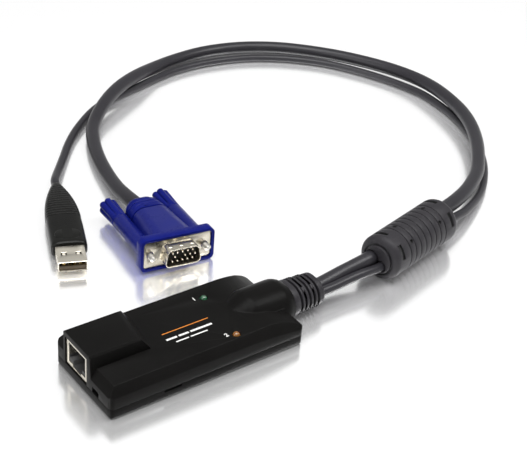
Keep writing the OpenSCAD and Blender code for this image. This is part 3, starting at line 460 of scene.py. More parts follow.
# %% [markdown]
# Hoods, knobs, grips and springs have a section that changes along their length. By hand, one
# would draw the first outline, extrude it, and reshape the new end each time. `drawn_out` does
# just that: a filled circle with as many points as the outline is extruded once per station, and
# each new point goes to its place in the next outline. A number kept on every point says which
# one it is, and the extrusion copies it.

# %% Drawing out a changing section
def drawn_out(name, outlines):
    bpy.ops.mesh.primitive_circle_add(vertices=len(outlines[0]), radius=MM, fill_type="NGON")
    obj = bpy.context.object
    obj.name = name
    bpy.ops.object.mode_set(mode="EDIT")
    mesh = bmesh.from_edit_mesh(obj.data)
    order = mesh.verts.layers.int.new("order")
    for place, vert in enumerate(mesh.verts):
        vert[order] = place
    for station, outline in enumerate(outlines):
        if station:
            bpy.ops.mesh.extrude_region()
            mesh = bmesh.from_edit_mesh(obj.data)
            order = mesh.verts.layers.int["order"]
        for vert in mesh.verts:
            if vert.select:
                vert.co = Vector(outline[vert[order]]) * MM
        bmesh.update_edit_mesh(obj.data)
    bpy.ops.object.mode_set(mode="OBJECT")
    obj.data.attributes.remove(obj.data.attributes["order"])
    return obj


def round_rect(x, wide, high, radius, steps=10):
    ring = []
    for corner, (sy, sz) in enumerate(((1, 1), (-1, 1), (-1, -1), (1, -1))):
        for k in range(steps + 1):
            angle = radians(90 * corner + 90 * k / steps)
            ring.append((x, sy * (wide / 2 - radius) + radius * cos(angle),
                         sz * (high / 2 - radius) + radius * sin(angle)))
    return ring


print("points round a rounded rectangle", len(round_rect(0, 10, 8, 2)))

# %% [markdown]
# Pins and screws are turned parts. A plane merged to a single point is extruded from corner to
# corner of the half profile, and the profile is spun about the X axis. Points on the axis fall
# together and are merged.

# %% Turning a profile
TURN_STEPS = 32
ON_AXIS = 0.001


def drawn_line(name, points):
    bpy.ops.mesh.primitive_plane_add(size=MM, location=(0, 0, 0))
    obj = bpy.context.object
    obj.name = name
    bpy.ops.object.mode_set(mode="EDIT")
    bpy.ops.mesh.select_all(action="SELECT")
    bpy.ops.mesh.merge(type="CENTER")
    bpy.ops.transform.translate(value=Vector(points[0]) * MM)
    for start, end in zip(points, points[1:]):
        step = (Vector(end) - Vector(start)) * MM
        bpy.ops.mesh.extrude_region_move(TRANSFORM_OT_translate={"value": step})
    bpy.ops.object.mode_set(mode="OBJECT")
    return obj


def turned(name, profile, steps=TURN_STEPS):
    obj = drawn_line(name, [(x, 0, radius) for x, radius in profile])
    bpy.ops.object.mode_set(mode="EDIT")
    bpy.ops.mesh.select_all(action="SELECT")
    bpy.ops.mesh.spin(steps=steps, angle=2 * pi, center=(0, 0, 0), axis=(1, 0, 0),
                      use_auto_merge=True)
    bpy.ops.mesh.select_all(action="SELECT")
    bpy.ops.mesh.remove_doubles(threshold=ON_AXIS * MM)
    bpy.ops.object.mode_set(mode="OBJECT")
    return obj


print("a turned part has", TURN_STEPS, "sides unless it says otherwise")

# %% [markdown]
# ## The two leads
# Both leads are round PVC sheaths that the photograph shows from end to end. They leave the
# strain relief, rise into the ferrite sleeve and loop back along the desk to their plugs. First
# come the places that they run between: the end of the strain relief, the middle and direction
# of the sleeve, and a frame for each plug, whose X axis runs from its mouth to its tail.

# %% Places that the leads run between
def heading(angle):
    return Vector((cos(radians(angle)), sin(radians(angle)), 0))


def in_metres(placing):
    result = placing.copy()
    result.translation = placing.translation * MM
    return result


boot_end = Vector((61.25, 0, 7.3))
sleeve_mid = Vector((116.9, 4.95, 10))
sleeve_u = heading(13.6)
sleeve_s = heading(103.6)

VGA_YAW, VGA_NOSE_DOWN, VGA_LEAN = 82.4, 2.2, 1.5
VGA_HALF_HIGH, VGA_HALF_WIDE, VGA_REACH = 7.5, 14.4, 4
vga_frame = (Matrix.Translation(Vector((28.1, 50.2, 0)))
             @ Matrix.Rotation(radians(VGA_YAW), 4, "Z")
             @ Matrix.Rotation(radians(VGA_NOSE_DOWN), 4, "Y")
             @ Matrix.Rotation(radians(VGA_LEAN), 4, "X"))
vga_frame.translation.z = (VGA_HALF_HIGH * cos(radians(VGA_LEAN))
                           + VGA_HALF_WIDE * sin(radians(VGA_LEAN))
                           + VGA_REACH * sin(radians(VGA_NOSE_DOWN)))
usb_frame = (Matrix.Translation(Vector((-12.25, 66.1, 4.25)))
             @ Matrix.Rotation(radians(67.6), 4, "Z"))
to_vga = in_metres(vga_frame)
to_usb = in_metres(usb_frame)


def through_sleeve(across, above):
    return [sleeve_mid + sleeve_u * x + sleeve_s * across + Vector((0, 0, above))
            for x in (-25.7, -23.2, 23.2, 25.7)]


print("video plug's middle height in mm", round(vga_frame.translation.z, 2))

# %% [markdown]
# The routes are the packed model's, point by point, in millimetres. On the desk a lead's middle
# lies half its thickness up, and where the thick lead crosses the thin one it rises in a long
# low hump.

# %% The routes
VIDEO_THICK = 6.7
USB_THICK = 4.0

video_route = [boot_end + Vector((0, 1.1, -1.3)), (68.5, 1.75, 6.4), (76.2, 2.1, 7.3),
               (84, 1.9, 8.6)]
video_route += through_sleeve(3.3, -0.5)
video_route += [
    (148, 16, 9.5), (156.1, 18.3, 9.4), (166.6, 22.4, 9), (176.3, 27.7, 8.3), (187, 35, 7.8),
    (198, 45.5, 7.8), (208.5, 57.5, 7.8), (217.5, 70.5, 7.8), (224.5, 84.5, 7.6),
    (229, 98.5, 7.2), (232, 113.5, 6.6), (232.5, 129, 5.6), (229.5, 144, 4.9),
    (224.5, 157, 4.4), (216.5, 172, 3.9), (205.5, 187, 3.4), (191, 200, 3.4),
    (173, 209.5, 3.4), (152, 214, 3.4), (131.5, 212.5, 3.6), (114.5, 207, 5),
    (99.5, 199.5, 7.2), (86, 192.3, 7.9), (74, 184.5, 7.2), (63.5, 176, 5.6),
    (54.5, 166, 4.1), (47.5, 153, 3.5), (42, 138.5, 3.4), (37.7, 122.5, 3.6),
    (34.8, 109, 4.7), (33.6, 98, 6), vga_frame @ Vector((40, 0, 0)), vga_frame @ Vector((36, 0, 0))]

usb_route = [boot_end + Vector((0, -4.2, 0.4)), (68.5, -3.9, 7.7), (76, -3.5, 8), (84, -3.5, 8.3)]
usb_route += through_sleeve(-2, -2.4)
usb_route += [
    (149.5, 11, 7), (158.2, 13.6, 5.6), (169.4, 18.9, 3.9), (178, 23.8, 2.9), (186, 29.3, 2.3),
    (193, 35.3, 2.1), (200, 42.3, 2.1), (206.5, 50.3, 2.1), (212, 58.8, 2.1), (217.5, 69.5, 2.1),
    (222, 80.5, 2.1), (225.5, 92.5, 2.1), (227.5, 105.5, 2.1), (227.8, 118.5, 2.1),
    (225, 131.5, 2.1), (220.5, 144.5, 2.1), (214.5, 157.5, 2.1), (206.5, 170.5, 2.1),
    (196.5, 181.5, 2.1), (184.5, 191, 2.1), (171, 198.3, 2.1), (157, 202.5, 2.1),
    (141.5, 204.6, 2.1), (126.5, 204, 2.1), (112.5, 201, 2.1), (99, 197, 2.1),
    (86.5, 193.6, 2.1), (75.5, 190.1, 2.1), (64.5, 184.2, 2.1), (54.5, 176.6, 2.1),
    (45.5, 168.6, 2.1), (37, 159.5, 2.1), (29.5, 150.2, 2.1), (22.8, 141.9, 2.5),
    (17.6, 135.2, 3.4), usb_frame @ Vector((69, 0, 0)), usb_frame @ Vector((65, 0, 0))]
print("route points", len(video_route), len(usb_route))

# %% [markdown]
# A stiff sheath has no corners. A centripetal curve passes through every point and never swings
# out between two close ones, which a plain smooth curve would do at the sleeve. A bevelled curve
# object then gives the round sheath, and stays one open line whose length can be measured. The
# sheath's finish goes on the curve before its object is made, because emptying the curve's slots
# later would spoil the box that Blender keeps for it.

# %% The leads
STEPS_A_SPAN = 4
SMALLEST_GAP = 0.001


def smooth_line(points):
    points = [Vector(p) for p in points]
    ends = [points[0] * 2 - points[1]] + points + [points[-1] * 2 - points[-2]]
    line = []
    for a, b, c, d in zip(ends, ends[1:], ends[2:], ends[3:]):
        before, span, after = [max((q - p).length, SMALLEST_GAP) ** 0.5
                               for p, q in ((a, b), (b, c), (c, d))]
        into = ((b - a) / before - (c - a) / (before + span) + (c - b) / span) * span
        out = ((c - b) / span - (d - b) / (span + after) + (d - c) / after) * span
        for k in range(STEPS_A_SPAN):
            t = k / STEPS_A_SPAN
            line.append(b * (2 * t**3 - 3 * t**2 + 1) + into * (t**3 - 2 * t**2 + t)
                        + c * (3 * t**2 - 2 * t**3) + out * (t**3 - t**2))
    return line + [points[-1]]


def lead(name, node, points, diameter):
    line = smooth_line(points)
    curve = bpy.data.curves.new(name, "CURVE")
    curve.dimensions = "3D"
    curve.bevel_depth = diameter / 2 * MM
    curve.bevel_resolution = 7
    curve.use_fill_caps = True
    curve.twist_mode = "MINIMUM"
    spline = curve.splines.new("POLY")
    spline.points.add(len(line) - 1)
    for point, place in zip(spline.points, line):
        point.co = (*(place * MM), 1)
    spline.use_smooth = True
    curve.materials.append(sheath_grey.material)
    obj = bpy.data.objects.new(name, curve)
    scene.collection.objects.link(obj)
    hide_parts(node)
    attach(obj, BODY_OF[node])
    length = sum((q - p).length for p, q in zip(line, line[1:])) * MM
    print(name, "length in m", round(length, 4))
    return obj, length, line[0] * MM


vga_lead, vga_length, vga_exit = lead("video_lead", "vga_cable", video_route, VIDEO_THICK)
usb_lead, usb_length, usb_exit = lead("usb_lead", "usb_cable", usb_route, USB_THICK)

# %% [markdown]
# ## The case
# Two shells of injection-moulded ABS meet along a line that runs round the sides. The covers are
# the packed solids with the mould's edge radius. The socket hood's upper edges are rounder, as
# such hoods are where the hand meets them, so they get a larger radius before the rest.

# %% The two covers
HOOD_ABOVE, HOOD_LOWEST, HOOD_REAR = 16, 12.9, -10
HOOD_RADIUS = 0.8


def on_hood(a, b):
    return max(a.z, b.z) > HOOD_ABOVE and min(a.z, b.z) > HOOD_LOWEST and max(a.x, b.x) < HOOD_REAR


upper = softened("upper_cover", case_black, 0.22, large=(on_hood, HOOD_RADIUS))
lower = softened("lower_cover", case_black, 0.2)
print("cover faces", len(upper.data.polygons), len(lower.data.polygons))

# %% [markdown]
# Pad printing lies on the top as a film of ink. It could be painted in the material, but thin
# faces just above the plastic stay crisp at any size and need no unwrapping. The place of the
# name is bare: a plain amber rule and two rows of plain bars stand in for the lines of print.

# %% The printed rule and bars
INK_HEIGHT = 13.1 + 0.02
BAR_GAP = 0.8


def printed(name, x, y, long, wide, finish):
    bpy.ops.mesh.primitive_plane_add(size=1, location=(0, 0, 0))
    mark = bpy.context.object
    mark.name = name
    bpy.ops.object.mode_set(mode="EDIT")
    bpy.ops.mesh.select_all(action="SELECT")
    bpy.ops.transform.resize(value=(wide * MM, long * MM, 1))
    bpy.ops.transform.translate(value=Vector((x, y, INK_HEIGHT)) * MM)
    bpy.ops.object.mode_set(mode="OBJECT")
    added_to_module(mark, finish)


printed("printed_line", -2.0, -0.9, 0.45, 20.6, amber_ink)
bars = 0
for row, (start, y, thick, lengths) in enumerate((
        (-12.6, -4.6, 0.95, (4.6, 4.4, 9.6)), (-10.0, -7.2, 0.6, (5.6, 7.6)))):
    for place, length in enumerate(lengths):
        printed(f"printed_bar_{row}_{place}", start + length / 2, y, thick, length, white_ink)
        start += length + BAR_GAP
        bars += 1
print("printed bars", bars)

# %% [markdown]
# Each lamp has a plain number beside it. A text object is turned into a mesh first, and only
# then moved, so that its place ends up in its points.

# %% The printed numbers
DIGIT_SIZE = 2.7
DIGIT_WEIGHT = 0.06


def printed_digit(name, digit, x, y):
    bpy.ops.object.text_add(location=(0, 0, 0))
    mark = bpy.context.object
    mark.name = name
    mark.data.body = digit
    mark.data.size = DIGIT_SIZE * MM
    mark.data.offset = DIGIT_WEIGHT * MM
    mark.data.align_x = "CENTER"
    mark.data.align_y = "CENTER"
    bpy.ops.object.convert(target="MESH")
    mark.data.transform(Matrix.Translation(Vector((x, y, INK_HEIGHT)) * MM))
    added_to_module(mark, white_ink)
    print(name, "points", len(mark.data.vertices))


printed_digit("printed_one", "1", 10.4, 11.7)
printed_digit("printed_two", "2", 8.2, -13.5)

# %% [markdown]
# ## The network socket
# A drawn, nickel-plated shield wraps a black moulded frame. Inside each side wall a bowed spring
# presses on the plug's shield. A spring is a strip whose section hardly changes while it bows
# inwards, so it is drawn out station by station, from the mouth to the back.

# %% Socket frame, shield and side springs
SOCKET_MIDDLE = 4.9
SPRING_FROM_MIDDLE = 5.9
SPRING_LOW, SPRING_HIGH, SPRING_THICK = 9.6, 13.2, 0.18
SPRING_BOW = ((-44.6, 0.02), (-43.4, 0.1), (-41.8, 0.55), (-40.2, 0.62), (-38.6, 0.1))

softened("rj45_housing", socket_black, 0.1, 1)
softened("rj45_shield", nickel, 0.06, 1)
fingers = []
for side in (-1, 1):
    stations = []
    for x, inward in SPRING_BOW:
        outer = SOCKET_MIDDLE + side * (SPRING_FROM_MIDDLE - inward)
        inner = SOCKET_MIDDLE + side * (SPRING_FROM_MIDDLE - inward - SPRING_THICK)
        stations.append([(x, outer, SPRING_LOW), (x, outer, SPRING_HIGH),
                         (x, inner, SPRING_HIGH), (x, inner, SPRING_LOW)])
    fingers.append(drawn_out("side_spring", stations))
fingers = joined(fingers, "rj45_side_springs")
outward(fingers, 40)
added_to_module(fingers, nickel)
print("side spring faces", len(fingers.data.polygons))

# %% [markdown]
# What lies deeper in the case shows only through the socket and the slots. There the packed
# solids are good enough as they are, and only take a better finish in their own slots.

# %% Finishes for the packed solids that stay
STAYING = {"rj45_contacts": gold, "led_leads": tin, "circuit_board": board_green,
           "controller_chip": chip_black, "line_driver_chip": chip_black, "crystal_can": steel,
           "cable_headers": nylon, "ferrite_core": ferrite_grey, "usb_contacts": gold}

for node, finish in STAYING.items():
    solid = frame["nodes"][node]
    for slot in solid.material_slots:
        slot.material = finish.material
    if not solid.material_slots:
        solid.data.materials.append(finish.material)
print("packed solids kept", len(STAYING))

# %% [markdown]
# Screws, lamps and the little slide switch come next. The lamps are cast without any edge, so
# they get no radius and are shaded smooth all over.

# %% Screws, lamps and switch
softened("case_screws", steel, 0.1, 1)
softened("online_led", green_lens, 0, smooth=60)
softened("power_led", amber_lens, 0, smooth=60)
softened("recovery_switch_body", switch_black, 0.08, 1)
slider = softened("recovery_switch_slider", switch_black, 0.1)
print("switch slider faces", len(slider.data.polygons))

# %% [markdown]
# ## Strain relief and ferrite sleeve
# Both are overmoulded in soft PVC. The relief's slots let it bend, and the sleeve's grooves,
# long slots and dots are where the mould held the ferrite. A slot is a deep hole in real PVC,
# deeper than the packed solid's, and falls into shade, so the faces that lie below the sleeve's
# skin take a nearly black second finish, chosen by their distance from its axis. That finish is
# painted shade, and where a slot shows the dark ferrite core it also stands for the core.

# %% Strain relief and sleeve
SLEEVE_HALF, GROOVE_FLOOR, SKIN = 22, 9.3, 9.75
SLOT_AT, SLOT_HALF = 18.35, 1.2
DOT_AT, DOT_HALF = 10.65, 0.93
FACES_ALONG = 0.99

boot = softened("strain_relief_boot", boot_grey, 0.22)
sleeve = softened("ferrite_overmould", boot_grey, 0.14, sharp=40)
sleeve.data.materials.append(slot_core_and_shade.material)


def below_the_skin(face):
    away = face.center / MM - sleeve_mid
    along = away.dot(sleeve_u)
    depth = (away - sleeve_u * along).length
    if abs(along) < SLEEVE_HALF and depth < GROOVE_FLOOR:
        if abs(face.normal.dot(sleeve_u)) < FACES_ALONG:
            return True
    near_slot = abs(abs(along) - SLOT_AT) < SLOT_HALF or abs(abs(along) - DOT_AT) < DOT_HALF
    return depth < SKIN and near_slot


# Painted shade: the faces in the grooves, slots and dots take the near-black finish.
dark = [face for face in sleeve.data.polygons if below_the_skin(face)]
for face in dark:
    face.material_index = 1
print("dark faces in the sleeve", len(dark))

# %% [markdown]
# ## The video plug
# A blue overmould grips a stamped face plate with a D-shaped shell. Behind its body runs a ring
# groove, where the body ends and the stepped hood begins. The groove is a thin frame: a slice
# with a smaller slice cut from it, which is then cut from the packed body.

# %% The plug's body
GROOVE_FRONT, GROOVE_BACK = 26.6, 27.3
GROOVE_OUTSIDE = (18.4, 20, 6)
GROOVE_INSIDE = (16.6, 12.2, 5.4)
PAST = 0.1

groove = drawn_out("groove_cutter", [round_rect(x, *GROOVE_OUTSIDE)
                                     for x in (GROOVE_FRONT, GROOVE_BACK)])
core = drawn_out("groove_core", [round_rect(x, *GROOVE_INSIDE)
                                 for x in (GROOVE_FRONT - PAST, GROOVE_BACK + PAST)])
for tool in (groove, core):
    outward(tool)
cut_away(groove, core)
groove.data.transform(to_vga)
plug_body = softened("vga_overmould", plug_blue, 0.14, sharp=30, smooth=30, cutter=groove)
for tool in (groove, core):
    bpy.data.objects.remove(tool)
print("plug body faces", len(plug_body.data.polygons))

# %% [markdown]
# The hood ends in three steps and a rounded collar, which let it bend with the lead. Each step
# is the same row of stations, with a soft edge at both ends and a groove after it, on a smaller
# outline. The collar closes round the lead.

# %% The plug's stepped hood
STEP_STARTS = ((27.3, 17.7, 13.6), (30.4, 17.1, 13.2), (33.5, 16.3, 12.6))
STEP_SHAPE = ((0, 0.5), (0.12, 0.2), (0.4, 0), (2.0, 0), (2.28, 0.2), (2.4, 0.5), (2.45, 0.9),
              (3.05, 0.9))
STEP_CORNER = 6
COLLAR = ((36.6, 15.0, 11.6, 5.6), (37.8, 14.2, 11, 5.3), (38.5, 12.6, 10, 4.9),
          (38.8, 9.5, 8.6, 4.2))

stations = [round_rect(start + x, wide - 2 * inset, high - 2 * inset, STEP_CORNER - inset)
            for start, wide, high in STEP_STARTS for x, inset in STEP_SHAPE]
stations += [round_rect(*section) for section in COLLAR]
plug_tail = drawn_out("vga_hood_tail", stations)
plug_tail.data.transform(to_vga)
outward(plug_tail, 30)
added_to_module(plug_tail, plug_blue)
print("hood stations", len(stations))

# %% [markdown]
# The shell is drawn from one sheet with its face plate. Small pressed dimples, three above and
# two below, grip the socket. Each is a sphere flattened to a lens and sunk into the sheet, which
# gives the soft rim that pressing leaves.

# %% Shell, pin carrier and dimples
DIMPLE_RADIUS = 1.0
DIMPLE_FLATTENED = (1, 1.15, 0.42)
DIMPLE_X, SHEET_Z = -3.3, 4.15
DIMPLES = ((-4.9, 1), (0, 1), (4.9, 1), (-2.6, -1), (2.6, -1))

plug_shell = softened("vga_shell", nickel, 0.12)
plug_insulator = softened("vga_insulator", insulator_black, 0.1, 1)
dimples = []
for y, side in DIMPLES:
    bpy.ops.mesh.primitive_uv_sphere_add(segments=24, ring_count=12, radius=DIMPLE_RADIUS * MM,
                                         location=(0, 0, 0))
    bpy.ops.object.mode_set(mode="EDIT")
    bpy.ops.mesh.select_all(action="SELECT")
    bpy.ops.transform.resize(value=DIMPLE_FLATTENED)
    bpy.ops.transform.translate(value=Vector((DIMPLE_X, y, side * SHEET_Z)) * MM)
    bpy.ops.object.mode_set(mode="OBJECT")
    dimples.append(bpy.context.object)
dimples = joined(dimples, "vga_shell_dimples")
dimples.data.transform(to_vga)
outward(dimples, 60)
added_to_module(dimples, nickel)
print("dimples", len(DIMPLES))

# %% [markdown]
# Thumbscrew knobs are fluted so that fingers can turn them. A section with six lobes is a circle
# whose radius follows a folded cosine, and the flutes deepen towards the end, where the knob
# flares. Each knob rides with its screw, so it is a piece of its own.

# %% Fluted knobs
KNOB_POINTS = 96
FLUTE_POWER = 0.7
SCREW_SPACING = 24.99
KNOB_SHAPE = (
    (30.3, 3.1, 0), (30.5, 3.45, 0), (31.0, 3.65, 0.02), (32, 3.68, 0.09), (33.5, 3.74, 0.17),
    (36, 3.85, 0.23), (40, 4.02, 0.26), (43.6, 4.18, 0.27), (44.5, 4.16, 0.27),
    (44.9, 3.95, 0.26), (45, 3.6, 0.25))


def on_screw_axis(side):
    return to_vga @ Matrix.Translation(Vector((0, side * SCREW_SPACING / 2, 0)) * MM)


def lobed(x, radius, depth):
    ring = []
    for k in range(KNOB_POINTS):
        angle = 2 * pi * k / KNOB_POINTS
        lobe = radius * (1 - depth * (1 - abs(cos(3 * angle)) ** FLUTE_POWER))
        ring.append((x, lobe * cos(angle + pi / 6), lobe * sin(angle + pi / 6)))
    return ring


def fluted_knob(node, side):
    obj = drawn_out(node + "_fluted", [lobed(*station) for station in KNOB_SHAPE])
    obj.data.transform(on_screw_axis(side))
    outward(obj, 45)
    stands_for(obj, node, plug_blue)
    return obj


left_knob = fluted_knob("left_knob", 1)
right_knob = fluted_knob("right_knob", -1)
print("knob faces", len(left_knob.data.polygons), len(right_knob.data.polygons))

# %% [markdown]
# Three rows of five pins stand in the carrier, at 2.29 mm across and 1.98 mm between rows, and
# the middle row is shifted by half a place. One place in it is empty, as on such plugs. A pin is
# a turned rod with a rounded nose.

# %% The pins
PIN_PROFILE = ((-1.2, 0), (-1.2, 0.4), (-4.7, 0.4), (-4.95, 0.36), (-5.13, 0.22), (-5.2, 0))
PIN_STEPS = 16
PIN_ACROSS, ROW_APART = 2.29, 1.98
MIDDLE_SHIFT = 1.145
EMPTY_PLACE = (0, 1)

pins = []
for row in (-1, 0, 1):
    for place in range(5):
        if (row, place) == EMPTY_PLACE:
            continue
        pin = turned("pin", PIN_PROFILE, PIN_STEPS)
        across = (2 - place) * PIN_ACROSS - (MIDDLE_SHIFT if row == 0 else 0)
        pin.data.transform(Matrix.Translation(Vector((0, across, row * ROW_APART)) * MM))
        pins.append(pin)
print("pins", len(pins))
pins = joined(pins, "vga_pin_field")
pins.data.transform(to_vga)
outward(pins, 50)
stands_for(pins, "vga_pins", pin_plate)

# %% [markdown]
# A jackscrew is a turned rod with a fine thread, forty turns to the inch, on its tip. The ridge
# of the thread is an open profile that a Screw modifier carries round and along the axis, and it
# sinks into the rod below its root, so that the two read as one.

# %% The jackscrews
ROD_PROFILE = ((-3.6, 0), (-3.6, 0.75), (-3.25, 1.08), (0, 1.08), (0, 1.15), (40.2, 1.15),
               (40.2, 0))
THREAD_START, THREAD_PITCH, THREAD_TURNS = -3.5, 0.635, 4
THREAD_PROFILE = ((0, 1.04), (0.26, 1.42), (0.36, 1.42), (0.62, 1.04))


def jackscrew(node, side):
    rod = turned("rod", ROD_PROFILE)
    ridge = drawn_line("ridge", [(x + THREAD_START, 0, radius) for x, radius in THREAD_PROFILE])
    screw = ridge.modifiers.new("helix", "SCREW")
    screw.axis = "X"
    screw.screw_offset = THREAD_PITCH * MM
    screw.iterations = THREAD_TURNS
    screw.steps = TURN_STEPS
    screw.render_steps = TURN_STEPS
    bpy.ops.object.modifier_apply(modifier=screw.name)
    obj = joined([rod, ridge], node + "_threaded")
    obj.data.transform(on_screw_axis(side))
    outward(obj, 40)
    stands_for(obj, node, steel)
    return obj


left_screw = jackscrew("left_screw", 1)
right_screw = jackscrew("right_screw", -1)
print("jackscrew faces", len(left_screw.data.polygons), len(right_screw.data.polygons))

# %% [markdown]
# ## The USB plug
# The grip is shaped like a bullet: nearly square where it holds the shell, full as far as the
# thumb, then falling to the lead, with fine ribs across the taper. A squared circle, x and y
# raised to a power, gives every section from box to oval with the same points, so the whole grip
# is one drawing out. The width and height at a station are shares of the full ones.

# %% The grip's sections
GRIP_LONG, GRIP_WIDE, GRIP_HIGH = 53.0, 15.4, 8.5
GRIP_POINTS = 64
SHELL_LONG = 12
LEAD_END = 4.2
FULL_UNTIL, TAPER_UNTIL = 0.42, 0.96
SQUARE, ROUNDER = 3.4, 1.2
TAPER_POWER = 2.1
WIDTH_LEFT, WIDTH_LOST = 0.34, 0.655
HEIGHT_LEFT, HEIGHT_LOST = 0.6, 0.4
FRONT_SHARES = ((0, 0.93, 0.92), (0.02, 0.985, 0.98), (0.08, 0.995, 1), (0.2, 1, 1),
                (0.3, 1, 1), (0.42, 0.985, 1))


def power_of(value, squareness):
    return (1 if value >= 0 else -1) * abs(value) ** (2 / squareness)


def grip_station(x):
    share = x / GRIP_LONG
    if share <= FULL_UNTIL:
        for a, b in zip(FRONT_SHARES, FRONT_SHARES[1:]):
            if share <= b[0]:
                k = (share - a[0]) / (b[0] - a[0])
                return a[1] + (b[1] - a[1]) * k, a[2] + (b[2] - a[2]) * k, SQUARE
    k = min((share - FULL_UNTIL) / (TAPER_UNTIL - FULL_UNTIL), 1)
    full = 1 - k ** TAPER_POWER
    width = WIDTH_LEFT + WIDTH_LOST * full
    height = HEIGHT_LEFT + HEIGHT_LOST * full
    if share > TAPER_UNTIL:
        end = (share - TAPER_UNTIL) / (1 - TAPER_UNTIL)
        width += (LEAD_END / GRIP_WIDE - width) * end
        height += (LEAD_END / GRIP_HIGH - height) * end
    return min(width, 1), min(height, 1), SQUARE - ROUNDER * k


print("grip's width share half way down", round(grip_station(GRIP_LONG / 2)[0], 3))

# %% [markdown]
# A rib groove is six stations: down over 0.28 mm, across and up again. Fourteen of them follow
# each other down the taper.

# %% The grip
RIBS, FIRST_RIB, RIB_PITCH = 14, 22.6, 1.96
RIB_SHAPE = ((-0.38, 0), (-0.26, 0.08), (-0.1, 0.4), (0.1, 0.4), (0.26, 0.08), (0.38, 0))
GRIP_NOSE = ((0, 0.75), (0.18, 0.25), (0.6, 0), (1.06, 0), (2.5, 0), (4.24, 0), (7, 0), (10.6, 0),
             (15.9, 0), (19, 0), (21.6, 0))
GRIP_TAIL = ((49.6, 0), (50.9, 0), (51.9, 0.05), (52.6, 0.1), (53, 0.3))


def grip_outline(x, inset):
    wide, high, squareness = grip_station(x)
    angles = [2 * pi * (k + 0.5) / GRIP_POINTS for k in range(GRIP_POINTS)]
    return [(SHELL_LONG + x, (wide * GRIP_WIDE / 2 - inset) * power_of(cos(a), squareness),
             (high * GRIP_HIGH / 2 - inset) * power_of(sin(a), squareness)) for a in angles]


ribs = [(FIRST_RIB + rib * RIB_PITCH + x, inset) for rib in range(RIBS) for x, inset in RIB_SHAPE]
stations = [*GRIP_NOSE, *ribs, *GRIP_TAIL]
grip = drawn_out("usb_grip", [grip_outline(x, inset) for x, inset in stations])
grip.data.transform(to_usb)
outward(grip, 28)
stands_for(grip, "usb_overmould", grip_black)
print("grip stations", len(stations))

# %% [markdown]
# A raised oval pad marks the thumb's place, where a plug's symbol would be. It is bare here: a
# low disc, stretched and with its rim rounded by a bevel in edit mode.

# %% The thumb pad
PAD_RADIUS, PAD_HIGH, PAD_STRETCH = 4.3, 0.9, 1.28
PAD_RIM = 0.35
PAD_PLACE = (18.6, 0, 3.78)

bpy.ops.mesh.primitive_cylinder_add(vertices=64, radius=PAD_RADIUS * MM, depth=PAD_HIGH * MM,
                                    location=(0, 0, 0))
pad = bpy.context.object
pad.name = "usb_grip_pad"
bpy.ops.object.mode_set(mode="EDIT")
bpy.ops.mesh.select_all(action="SELECT")
bpy.ops.transform.resize(value=(1, PAD_STRETCH, 1))
bpy.ops.mesh.bevel(offset=PAD_RIM * MM, segments=3, affect="EDGES")
bpy.ops.object.mode_set(mode="OBJECT")
pad.data.transform(to_usb @ Matrix.Translation(Vector(PAD_PLACE) * MM))
outward(pad, 35)
added_to_module(pad, grip_black)
print("pad faces", len(pad.data.polygons))

# %% [markdown]
# The shell is folded from steel sheet. Two windows in its top let a socket's springs drop in,
# and through them one sees tabs that lean down onto the tongue.

# %% Shell, tongue and the tabs in the windows
TAB_HALF, TAB_THICK, TAB_FROM_MIDDLE = 0.7, 0.2, 3
TAB_LEAN = ((5.7, 1.6), (6.3, 1.75), (6.9, 1.9), (7.5, 2.0))

usb_shell = softened("usb_shell", shell_steel, 0.1, 1)
usb_tongue = softened("usb_tongue", tongue_brown, 0.1, 1)
tabs = []
for side in (-1, 1):
    near, far = side * TAB_FROM_MIDDLE - TAB_HALF, side * TAB_FROM_MIDDLE + TAB_HALF
    tabs.append(drawn_out("tab", [[(x, near, top), (x, far, top), (x, far, top - TAB_THICK),
                                   (x, near, top - TAB_THICK)] for x, top in TAB_LEAN]))
tabs = joined(tabs, "usb_hole_tabs")
tabs.data.transform(to_usb)
outward(tabs, 30)
added_to_module(tabs, shell_steel)
print("tab faces", len(tabs.data.polygons))

# %% [markdown]
# ## Facts of the leads
# Their lengths are measured along the curves.

# %% The lengths of the leads
print("video lead", round(vga_length, 4), "m, USB lead", round(usb_length, 4), "m")

# %% [markdown]
# ## The table
# The module lies on a white, half-polished table, which keeps a soft shadow and a mirrored
# smear that fades with height. A mix of a matt and a blurred mirror shader gives both. Away from
# the module the table fades to plain white light, so no grey horizon shows from low angles.

# %% The white table
TABLE_SIZE, TABLE_DROP = 6, 0.02
TABLE_WHITE, TABLE_GLOW = 0.62, 0.26
MIRROR_SHARE, MIRROR_BLUR, MIRROR_GAIN = 0.68, 0.2, 1.9
FADE_FROM, FADE_RATE = 0.24, 4
MODULE_MIDDLE = (0.09, 0.08, 0)

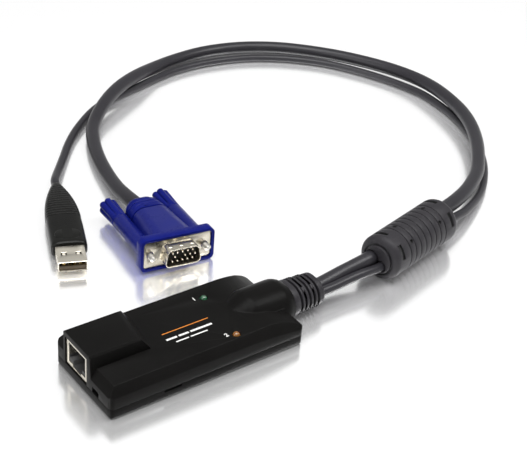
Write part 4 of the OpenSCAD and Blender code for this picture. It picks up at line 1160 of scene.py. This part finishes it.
bpy.ops.mesh.primitive_plane_add(size=TABLE_SIZE, location=(0, 0, -TABLE_DROP * MM))
floor = bpy.context.object
floor.name = "white_table"
table = Finish("white_table", (TABLE_WHITE,) * 3, 0.8)
table.all_over("Emission Color", (1, 1, 1, 1))
table.all_over("Emission Strength", TABLE_GLOW)
mirror = table.node("ShaderNodeBsdfGlossy", sockets={
    "Color": (MIRROR_GAIN, MIRROR_GAIN, MIRROR_GAIN, 1), "Roughness": MIRROR_BLUR})
polished = table.node("ShaderNodeMixShader", sockets={
    0: MIRROR_SHARE, 1: table.shader.outputs["BSDF"], 2: mirror.outputs["BSDF"]})
away = table.value("ShaderNodeVectorMath", "Value", {"operation": "DISTANCE"},
                   {0: table.coords, 1: MODULE_MIDDLE})
white = table.node("ShaderNodeEmission", sockets={"Strength": 1.0})
faded = table.node("ShaderNodeMixShader", sockets={
    0: ((away - FADE_FROM) * FADE_RATE).limited(),
    1: polished.outputs["Shader"], 2: white.outputs["Emission"]})
table.tree.links.new(faded.outputs["Shader"],
                     table.tree.nodes["Material Output"].inputs["Surface"])
floor.data.materials.append(table.material)
print("table finish nodes", len(table.tree.nodes))

# %% [markdown]
# ## Light
# One large softbox overhead, a weak one on the camera's left, and a small one behind that draws
# the bright line along the rear edges. An area lamp's size sets how soft its shadow is.

# %% Softboxes
def softbox(name, place, aim, size, power):
    bpy.ops.object.light_add(type="AREA", location=place)
    light = bpy.context.object
    light.name = name
    light.data.shape = "RECTANGLE"
    light.data.size = size
    light.data.size_y = size
    light.data.energy = power
    direction = Vector(aim) - Vector(place)
    light.rotation_euler = direction.to_track_quat("-Z", "Y").to_euler()
    print(name, "at", round(direction.length, 2), "m,", power, "W")


softbox("overhead", (-0.06, -0.02, 0.95), (0.08, 0.06, 0), 0.75, 11)
softbox("side_fill", (-0.75, 0.05, 0.45), (0.05, 0.05, 0), 0.4, 2.0)
softbox("edge_light", (0.42, -0.18, 0.62), (0.0, -0.01, 0.01), 0.3, 2.6)

# %% [markdown]
# The studio round the table is white to the eye, but gives little light by itself, so that black
# plastic stays black. Metal and the table's polish see it at half strength.

# %% The studio
AMBIENT, SEEN, MIRRORED = 0.12, 0.88, 0.38

world = bpy.data.worlds.new("studio")
scene.world = world
world.use_nodes = True
studio = Wiring(world.node_tree)
rays = studio.node("ShaderNodeLightPath")
to_camera = Value(studio.tree, rays.outputs["Is Camera Ray"])
to_gloss = Value(studio.tree, rays.outputs["Is Glossy Ray"])
strength = AMBIENT + SEEN * to_camera + MIRRORED * to_gloss
back = studio.tree.nodes["Background"]
back.inputs["Color"].default_value = (1, 1, 1, 1)
studio.tree.links.new(strength.socket, back.inputs["Strength"])
scene.view_settings.view_transform = "Standard"
print("view transform", scene.view_settings.view_transform)
